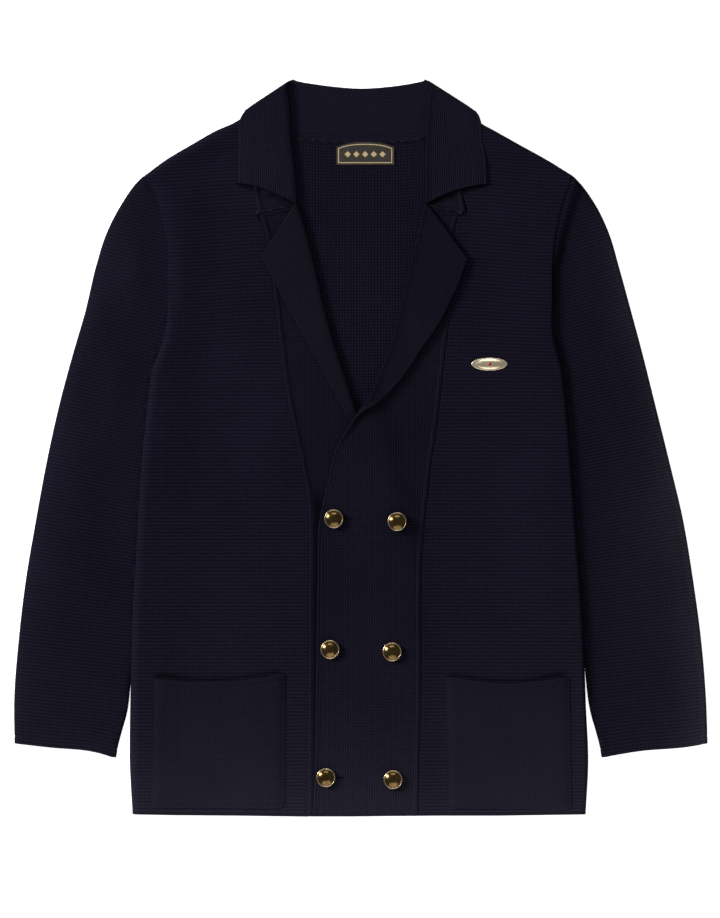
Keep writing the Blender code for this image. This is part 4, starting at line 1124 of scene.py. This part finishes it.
    # Painted light fades in below the shoulder and grows towards the cuff.
    pale_tone_and_painted_light = pale_tone_and_painted_light * smooth(at / 120)[:, None] + CUFF_PAINTED_LIGHT * np.exp(-from_cuff / 20)
    sleeve = shell(
        f"sleeve_tube_{side}", *skins, loops, sleeve_knit, around=True, painted_shade=painted_shade, pale_tone_and_painted_light=pale_tone_and_painted_light
    )
    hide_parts(f"sleeve_{side}")

# ---------------------------------------------------------------------------------------------------
# Patch pockets. Each is a square of finer rib with a turned mouth, sewn to its front along its flat
# sides and foot, whose corners are rounded. The mouth stands a little off the front.
# ---------------------------------------------------------------------------------------------------
# The patch pockets' feet, x and height: the end further to the wearer's left, then the other.
FEET = {"right": [(-82.6, 9), (-226.8, 9)], "left": [(227.3, 7.5), (94.5, 9)]}
POCKET_WALL, FLANGE_WALL, FLANGE = 1.7, 0.5, 7.0  # wall, wall at the sewn edge, and how wide that is
POCKET_CORNER = 7.0  # radius of the lower corners
POCKET_GAPE = 2.2  # how far a pocket's mouth stands off the front
POCKET_STIFFNESS = 4  # how soon the gape closes below the mouth
POCKET_PITCH, POCKET_RIB = 2.6, 0.08
POCKET_COLUMNS = 40
STITCH_DEPTH, STITCH_LINE = 0.2, 3.4  # the sewn line: how deep, and how far in from the edge
SEAM = 0.2  # gap between the pocket and the front
MOUTH_WIDTH, MOUTH_LIP, MOUTH_GROOVE = 6.0, 0.3, 0.25  # the smooth turned mouth, and its relief

# Fine rib, whose close lines look flatter than the front around it.
pocket_knit = knit_material(
    "wool_rib_pocket", "#090814", "#191723", POCKET_PITCH, 2.6, (0.12, 0.08, 0.35), (0.2, 0.1)
)
for side, column in COLUMNS.items():
    left, right = table(MOUTHS[side])[[0, 2]]
    right_foot, left_foot = table(FEET[side])
    width = np.linalg.norm(right - left)
    across = between_edges(np.array([width]), POCKET_COLUMNS)[0]
    share = across / width
    mouth = read_along(share, np.linspace(0, 1, FINE_STEPS), evenly(MOUTHS[side], FINE_STEPS))
    tall = np.linalg.norm(left - left_foot)
    at = np.arange(1.3, tall - 1.3, POCKET_PITCH / ROWS_PER_RIB)
    at = np.concatenate([EDGE_STEPS[:-1], at, tall - EDGE_STEPS[-2::-1]])
    up = (at / tall)[:, None]
    # The lower corners are rounded: a row's ends move in by r - sqrt(r^2 - (r - at)^2).
    into_corner = POCKET_CORNER - np.minimum(at, POCKET_CORNER)
    inset = POCKET_CORNER - np.sqrt(POCKET_CORNER**2 - into_corner**2)
    inward = unit(right_foot - left_foot)
    near = left_foot + up * (left - left_foot) + inset[:, None] * inward
    far = right_foot + up * (right - right_foot) - inset[:, None] * inward
    ruled = (1 - share[None, :, None]) * near[:, None] + share[None, :, None] * far[:, None]
    bend = mouth - (left + share[:, None] * (right - left))
    plan = ruled + up[..., None] * bend[None]
    from_side = np.minimum(across, width - across)[None] + 0 * up
    from_foot = at[:, None] + 0 * across
    from_mouth = tall - from_foot
    corner = np.hypot(np.maximum(POCKET_CORNER - from_side, 0), np.maximum(POCKET_CORNER - from_foot, 0))
    from_sewn = np.minimum(np.minimum(from_side, from_foot), POCKET_CORNER)
    from_sewn = np.where(corner > 0, np.maximum(POCKET_CORNER - corner, 0), from_sewn)
    flange = smooth(from_sewn / FLANGE)
    rib = POCKET_RIB * np.sin(2 * math.pi * at / POCKET_PITCH)[:, None]
    rib = rib * flange * smooth((from_mouth - MOUTH_WIDTH) / 1.5)
    lip = MOUTH_LIP * (1 - smooth(from_mouth - MOUTH_WIDTH + 1))
    lip = lip - MOUTH_GROOVE * bell(from_mouth - MOUTH_WIDTH - 0.5, 0.7)
    stitching = -STITCH_DEPTH * bell(from_sewn - STITCH_LINE, 0.7) * smooth((from_mouth - MOUTH_WIDTH) / 2)
    gape = POCKET_GAPE * up**POCKET_STIFFNESS * np.sin(math.pi * share)[None] ** 0.6
    outer_x = edge_x((SIDES, ARMHOLES, SHOULDERS), column, plan[..., 1].ravel()).reshape(plan.shape[:2])
    puff = edge_puff(side, np.maximum(np.abs(outer_x) - np.abs(plan[..., 0]), 0), plan[..., 1])
    base = RESTS[side](plan) + puff + WALL + SEAM + gape
    drop = edge_drop(from_mouth)
    thick = FLANGE_WALL + (POCKET_WALL - FLANGE_WALL) * flange
    loops = np.dstack([plan[..., 0], from_foot])
    # Painted light: paler towards the hem.
    pocket = shell(
        f"patch_pocket_{side}",
        np.dstack([plan, base + thick - 0.7 * drop + rib + lip + stitching]),
        np.dstack([plan, base + 0.3 * drop]),
        loops,
        pocket_knit,
        pale_tone_and_painted_light=hem_painted_light(plan[..., 1]),
    )
    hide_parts(f"pocket_{side}")

# ---------------------------------------------------------------------------------------------------
# Buttons. Six domed shank buttons of stamped, polished brass, sewn to the over band in two columns.
# Each has a pale gilt rim and a plain domed face, dipped darker and lacquered.
# ---------------------------------------------------------------------------------------------------
# Button centres, x and height, on the over band.
BUTTONS = [(-29.2, 321.8), (39.1, 318.8), (-33.3, 180.8), (33.7, 178.3), (-37.7, 42.6), (34.7, 40.5)]
BUTTON_RADIUS = 10.2
BUTTON_POINTS = 48
# The button's section: radius in mm, height above its foot in mm.
BUTTON_SECTION = [
    (0, 0), (3.2, 0), (3.2, 1.2), (4.0, 1.5), (8.8, 1.5), (9.7, 1.75), (10.15, 2.2), (10.2, 2.6),
    (10.1, 3.0), (9.8, 3.3), (9.45, 3.35), (9.15, 3.15), (9.0, 2.8), (8.75, 2.7), (8.3, 3.05),
    (7.3, 3.85), (5.9, 4.7), (4.4, 5.35), (2.9, 5.75), (1.4, 5.95), (0, 6.0),
]


def lathe(name, section, outline, centre, base, finishes, first_inner=math.inf):
    """A solid on a vertical axis: each (radius, height) of the section scales the unit outline.
    Both ends of the section are on the axis. Rings from first_inner on take the second finish."""
    section = table(section)
    count = len(outline)
    plan = centre + section[1:-1, None, :1] * outline[None]
    rings = np.dstack([plan, np.broadcast_to(base + section[1:-1, None, 1], plan.shape[:2])])
    ends = [[*centre, base + section[0, 1]], [*centre, base + section[-1, 1]]]
    points = place(np.vstack([rings.reshape(-1, 3), ends]))
    number = np.arange(len(rings) * count).reshape(len(rings), count)
    number = np.hstack([number, number[:, :1]])
    sides = quads(number)
    bottom, top = len(points) - 2, len(points) - 1
    fan_low = np.stack([np.full(count, bottom), number[0, 1:], number[0, :-1]], axis=1)
    fan_high = np.stack([np.full(count, top), number[-1, :-1], number[-1, 1:]], axis=1)
    mesh = bpy.data.meshes.new(name)
    mesh.from_pydata(points.tolist(), [], sides.tolist() + fan_low.tolist() + fan_high.tolist())
    piece = finished(name, mesh, finishes)
    ring = np.repeat([*range(len(rings) - 1), 0, len(rings)], count)
    mesh.polygons.foreach_set("material_index", (ring >= first_inner).astype(np.int32))
    return piece


def unit_ring(count):
    """Points of a unit circle."""
    turn = np.linspace(0, 2 * math.pi, count, endpoint=False)
    return np.stack([np.cos(turn), np.sin(turn)], axis=1)


def polished(name, colour, dark, roughness, metallic=1.0):
    """Polished metal or enamel, with fine scratches, and tarnish in patches, both from noise."""
    made, tree, shader = new_material(name, {"Metallic": metallic})
    where = add(tree, "TexCoord").outputs["Object"]
    tarnish = add(tree, "TexNoise", {"Vector": where, "Scale": 260.0, "Detail": 4.0}).outputs["Fac"]
    rough = {"Value": tarnish, "To Min": roughness * 0.7, "To Max": roughness * 1.4}
    tree.links.new(add(tree, "MapRange", rough).outputs[0], shader.inputs["Roughness"])
    scratch = add(tree, "TexNoise", {"Vector": where, "Scale": 2600.0, "Detail": 2.0}).outputs["Fac"]
    dress(tree, shader, layered(tree, colour, [(tarnish, dark)]), scratch, 0.03, 0.6)
    return made


RIM_RINGS = 12  # rings of the section that are foot and rim

# Stamped brass, gilt and polished: pale and warm, with small sharp glints.
brass = polished("brass_gilt_polished", "#dbc9a8", "#957a52", 0.27)
# The same brass, bronzed and lacquered: a dark gold with one bright spot.
face = polished("brass_bronzed_lacquered", "#75603c", "#2c1e0b", 0.2)
for number, centre in enumerate(table(BUTTONS), start=1):
    base = over_front_height(centre + unit_ring(16) * BUTTON_RADIUS).max() + WALL + LAYER
    button = lathe(
        f"blazer_button_{number}",
        BUTTON_SECTION,
        unit_ring(BUTTON_POINTS),
        centre,
        base,
        [brass, face],
        RIM_RINGS,
    )
    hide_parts(f"button_{number}")

# ---------------------------------------------------------------------------------------------------
# Buttonholes. Each is a slit in the over band, worked round with a raised lip of thread. The button's
# shank pulls it open, so that the end that shows past the button is a narrow wedge.
# ---------------------------------------------------------------------------------------------------
# The right-hand end of each slit, as x, and how wide it gapes at the button, in button order.
SLITS = [(-8.4, 3.4), (56.2, 2.6), (-17.0, 2.4), (49.4, 2.2), (-18.0, 2.0), (43.6, 1.2)]
LIP_WIDTH, LIP_HEIGHT = 1.3, 0.55
SLIT_ACROSS = np.array([-1.0, -0.8, -0.55, -0.3, 0.0, 0.3, 0.55, 0.8, 1.0])

# Twisted wool thread: its strands catch more light than the knit.
thread = knit_material("wool_thread_worked", "#0b0a14", "#242130", 1.3, 1.3, (0.1, 0.3, 0.3), (0.1, 0.3))
for number, ((x, height), (tip, gape)) in enumerate(zip(BUTTONS, SLITS), start=1):
    share = np.linspace(0, 1, 25)[:, None]
    slit = gape / 2 * (1 - share) ** 0.8
    half = slit + LIP_WIDTH * np.minimum(1, 6 * (1 - share) + 0.15)
    plan = np.dstack([x + share * (tip - x) + 0 * SLIT_ACROSS, height + half * SLIT_ACROSS])
    opening = slit + 0.25
    into_lip = np.clip((np.abs(half * SLIT_ACROSS) - opening) / (half - opening), 0, 1)
    rise = LIP_HEIGHT * np.sin(math.pi * into_lip) + 0.08
    base = over_front_height(plan) + WALL
    # Painted shade: the slit's middle, inside the lips, is coloured near black.
    hole = shell(
        f"buttonhole_{number}",
        np.dstack([plan, base + rise]),
        np.dstack([plan, base - 0.3]),
        plan,
        thread,
        painted_shade=np.where(into_lip > 0.1, 0, 1.0),
    )

# ---------------------------------------------------------------------------------------------------
# Neck linking. One thread that joins the collar to the back, loop by loop, across the back neck.
# ---------------------------------------------------------------------------------------------------
LINK_PITCH, LINK_SWING, LINK_RADIUS = 2.9, 1.5, 0.62
LYING = 0.35  # how far a thread, the label or the pin lies above the knit
GORGE_ABOVE, GORGE_SWING = 0.75, 0.7  # the thread along the gorge seams lies higher and straighter
NECK_ENDS = (-69.0, 69.0)
# The gorge seams, from the knot at the outer end to the fold: x and height.
GORGES = {"right": [(-110.5, 652.3), (-69.5, 661.0)], "left": [(108.5, 652.3), (70.0, 661.0)]}


def linking(name, line, rest, above, swing):
    """A thread along a line, which swings from side to side as a sine and bobs twice as often. It
    lies that far above the resting height of the cloth there."""
    length = along(line)
    steps = np.linspace(0, length[-1], int(length[-1] / LINK_PITCH * 10) + 1)
    wave = 2 * math.pi * steps / LINK_PITCH
    direction = unit(line[-1] - line[0])
    aside = np.array([-direction[1], direction[0]])
    path = read_along(steps, length, line)
    path = path + 0.5 * np.sin(2 * wave)[:, None] * direction + swing * np.sin(wave)[:, None] * aside
    path = np.hstack([path, (rest(path) + above + 0.25 * np.cos(2 * wave))[:, None]])
    around = np.linspace(0, 2 * math.pi, 7)[:-1]
    forward = unit(np.gradient(path, axis=0))
    sideways = unit(np.cross([0, 0, 1.0], forward))
    upward = np.cross(forward, sideways)
    from_end = np.minimum(np.arange(len(path)), np.arange(len(path))[::-1])
    thick = np.minimum(1, from_end / 3 + 0.02)[:, None, None] * LINK_RADIUS
    ring = np.cos(around)[:, None] * sideways[:, None] + np.sin(around)[:, None] * upward[:, None]
    loops = np.dstack([np.broadcast_to(part, (len(path), 6)) for part in (steps[:, None], around)])
    outer, inner = path[:, None] + thick * ring, path[:, None] + 0.2 * thick * ring
    # The thread is a touch paler all along.
    made = shell(name, outer, inner, loops, thread, around=True, pale_tone_and_painted_light=0.1)


seam = table(COLLAR)[turned, 0:2]
x = np.linspace(*NECK_ENDS, 60)
neck_line = np.stack([x, np.interp(x, seam[:, 0], seam[:, 1]) + 0.6], axis=1)
linking("neck_linking", neck_line, back_height, WALL + LYING, LINK_SWING)
knot_section = [(0, 0), (0.7, 0.1), (1, 0.8), (0.9, 1.5), (0.55, 2.1), (0.25, 2.3), (0, 2.35)]
knot_outline = unit_ring(20) * [3.0, 2.3]
for side, ends in GORGES.items():
    line = table(ends)
    linking(f"gorge_linking_{side}", line, RESTS[side], WALL + GORGE_ABOVE, GORGE_SWING)
    foot = RESTS[side](line[:1])[0] + WALL
    knot = lathe(f"gorge_knot_{side}", knot_section, knot_outline, line[0], foot, [thread])

# ---------------------------------------------------------------------------------------------------
# Neck label. A small woven label of dark cloth with an arched top edge, sewn inside the back neck.
# ---------------------------------------------------------------------------------------------------
LABEL_MIDDLE, LABEL_WIDTH, LABEL_DROP, LABEL_ARCH = 4.6, 62.6, 25.0, 5.6
LABEL_TOP, LABEL_WALL = 728.4, 0.8
WEFT_PITCH = 0.5
LABEL_FRAME, LABEL_FRAME_WIDTH = 2.6, 0.7  # the woven frame: how far in from the edge, and how wide
LOZENGES, LOZENGE_PITCH, LOZENGE_SIZE = 5, 9.4, 3.6  # a row of plain woven lozenges


def woven_material(name, dark, light, figure):
    """Satin-woven polyester. A fine sine across the weft and noise at the yarn's size go from the dark
    to the light of the ground. The attribute that holds painted light on the knit is here where the figure's
    pale weft floats on top."""
    made, tree, shader = new_material(name, {"Roughness": 0.5, "Specular IOR Level": 0.3})
    place_in_mm = add(tree, "UVMap", uv_map="knit").outputs["UV"]
    split = add(tree, "SeparateXYZ", {0: place_in_mm})
    weft = ripple(tree, split.outputs["Y"], WEFT_PITCH)
    grain = add(tree, "TexNoise", {"Vector": place_in_mm, "Scale": 2.2, "Detail": 3.0}).outputs["Fac"]
    shade = add(tree, "Math", {0: weft, 1: 0.15, 2: grain}, operation="MULTIPLY_ADD", use_clamp=True)
    floats = add(tree, "Attribute", attribute_name="pale_tone_and_painted_light").outputs["Fac"]
    floats = add(tree, "MapRange", {"Value": floats, "From Min": 0.35, "From Max": 0.65})
    colour = layered(tree, dark, ((shade.outputs[0], light), (floats.outputs[0], figure)))
    dress(tree, shader, colour, weft, 0.06)
    return made


# Woven satin: dark and slightly glossy, with a pale gold figure.
label_cloth = woven_material("polyester_satin_woven", "#1b1712", "#332d26", "#b9a27a")
share = np.linspace(-1, 1, 161)
x = LABEL_MIDDLE + share * LABEL_WIDTH / 2
label_top = np.stack([x, LABEL_TOP - LABEL_ARCH * np.abs(share) ** 2.6], axis=1)
label_foot = np.stack([x, np.full_like(x, LABEL_TOP - LABEL_DROP)], axis=1)
up = np.linspace(0, 1, 81)[:, None, None]
plan = label_foot + up * (label_top - label_foot)
base = back_height(plan) + WALL + LYING
from_side = np.minimum(x - x[0], x[-1] - x)[None] + 0 * up[..., 0]
from_foot, from_top = plan[..., 1] - label_foot[:, 1], label_top[:, 1] - plan[..., 1]
from_edge = np.minimum(from_side, np.minimum(from_foot, from_top))
woven_frame = np.clip(1.2 - np.abs(from_edge - LABEL_FRAME) / LABEL_FRAME_WIDTH, 0, 1)
along_row = (plan[..., 0] - LABEL_MIDDLE) / LOZENGE_PITCH
off_middle = np.abs(along_row - np.round(along_row)) * LOZENGE_PITCH
off_row = np.abs(plan[..., 1] - (LABEL_TOP - LABEL_DROP / 2 - 0.8))
lozenge = np.clip(1.3 - (off_middle / LOZENGE_SIZE + off_row / LOZENGE_SIZE) ** 4, 0, 1)
lozenge = lozenge * (np.abs(np.round(along_row)) <= LOZENGES // 2)
stitched = 0.25 * bell(from_edge - 0.9, 0.5)
# The pale woven frame and lozenges are the label's own figure.
label = shell(
    "neck_label_cloth",
    np.dstack([plan, base + LABEL_WALL - stitched]),
    np.dstack([plan, base]),
    plan,
    label_cloth,
    pale_tone_and_painted_light=np.maximum(woven_frame, lozenge),
)
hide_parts("neck_label")

# ---------------------------------------------------------------------------------------------------
# Breast pin. A low oval brooch of pale gilt brass on the wearer's left front, with one red enamel dot.
# ---------------------------------------------------------------------------------------------------
PIN_CENTRE, PIN_LENGTH, PIN_WIDTH = (138.8, 488.7), 39.0, 14.0
PIN_SECTION = [
    (0, 0), (0.97, 0), (1, 0.3), (1, 1.1), (0.97, 1.45), (0.92, 1.6), (0.87, 1.5), (0.83, 1.5),
    (0.7, 2.2), (0.5, 2.8), (0.25, 3.2), (0, 3.3),
]

# Cast brass, pale gilt: nearly white where the light falls on it.
gilt = polished("brass_gilt_cast", "#f8ecd2", "#d8c096", 0.32)
# Fired enamel: a deep red under a glassy surface, and no metal.
enamel = polished("enamel_red_fired", "#b02a1c", "#7c1610", 0.15, metallic=0.0)
centre = table([PIN_CENTRE])
base = over_front_height(centre)[0] + WALL + LYING
oval = unit_ring(64) * [PIN_LENGTH / 2, PIN_WIDTH / 2]
pin = lathe("breast_pin", PIN_SECTION, oval, centre[0], base, [gilt])
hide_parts("chest_pin")
dot_section = [(0, 0), (1.7, 0), (1.9, 0.3), (1.8, 0.55), (1.3, 0.75), (0.7, 0.85), (0, 0.9)]
dot = lathe("pin_enamel_dot", dot_section, unit_ring(24), centre[0], base + 3.0, [enamel])

# ---------------------------------------------------------------------------------------------------
# Studio. A pale floor, three soft lights and a camera straight above.
# ---------------------------------------------------------------------------------------------------
FLOOR_DEPTH, FLOOR_HALF = 0.0005, 15.0
CAMERA_HEIGHT = 5.51
CAMERA_PLACE = (-0.00168, -0.01135)
LENS, SENSOR = 200.0, 36.0  # mm
VIEW_REACH = 50.0  # how far the camera sees, in metres
WHITE, GLOW, SKY = (1, 1, 1, 1), 0.75, 0.232  # the floor's own glow, and the strength of the light all round
# Soft lights: x, y and height in metres, length and width in metres, power in watts.
LIGHTS = [
    (-4.0, 1.72, 1.96, 1.48, 1.48, 332.0),
    (0.1, -1.45, 0.65, 1.8, 1.4, 13.0),
    (0.0, 4.2, 3.2, 4.0, 1.3, 62.0),
]

floor_mesh = bpy.data.meshes.new("floor")
floor_mesh.from_pydata(
    [(x * FLOOR_HALF, y * FLOOR_HALF, -FLOOR_DEPTH) for x, y in ((-1, -1), (1, -1), (1, 1), (-1, 1))],
    [],
    [(0, 1, 2, 3)],
)
floor = in_scene("floor", floor_mesh)
floor_look = {"Roughness": 0.9, "Specular IOR Level": 0.1, "Emission Color": WHITE, "Emission Strength": GLOW}
# Matt white paper without gloss, with a slight glow of its own.
paper, tree, shader = new_material("paper_white_matt", floor_look)
where = add(tree, "TexCoord").outputs["Object"]
grain = add(tree, "TexNoise", {"Vector": where, "Scale": 3.0}).outputs["Fac"]
tree.links.new(layered(tree, "#f4f4f4", [(grain, "#f8f8f8")]), shader.inputs["Base Color"])
floor_mesh.materials.append(paper)

scene = bpy.context.scene
world = bpy.data.worlds.new("studio")
world.use_nodes = True
background = world.node_tree.nodes["Background"]
background.inputs["Color"].default_value = WHITE
background.inputs["Strength"].default_value = SKY
scene.world = world
for number, (*place_of_light, length, width, power) in enumerate(LIGHTS):
    data = bpy.data.lights.new(f"soft_{number}", "AREA")
    data.shape = "ELLIPSE"
    data.size, data.size_y, data.energy = length, width, power
    light = in_scene(f"soft_{number}", data)
    light.location = place_of_light
    light.rotation_euler = light.location.normalized().to_track_quat("Z", "Y").to_euler()

camera_data = bpy.data.cameras.new("camera")
camera_data.lens, camera_data.sensor_width, camera_data.clip_end = LENS, SENSOR, VIEW_REACH
camera = in_scene("camera", camera_data)
camera.location = (*CAMERA_PLACE, CAMERA_HEIGHT)
scene.camera = camera
scene.view_settings.view_transform = "Standard"
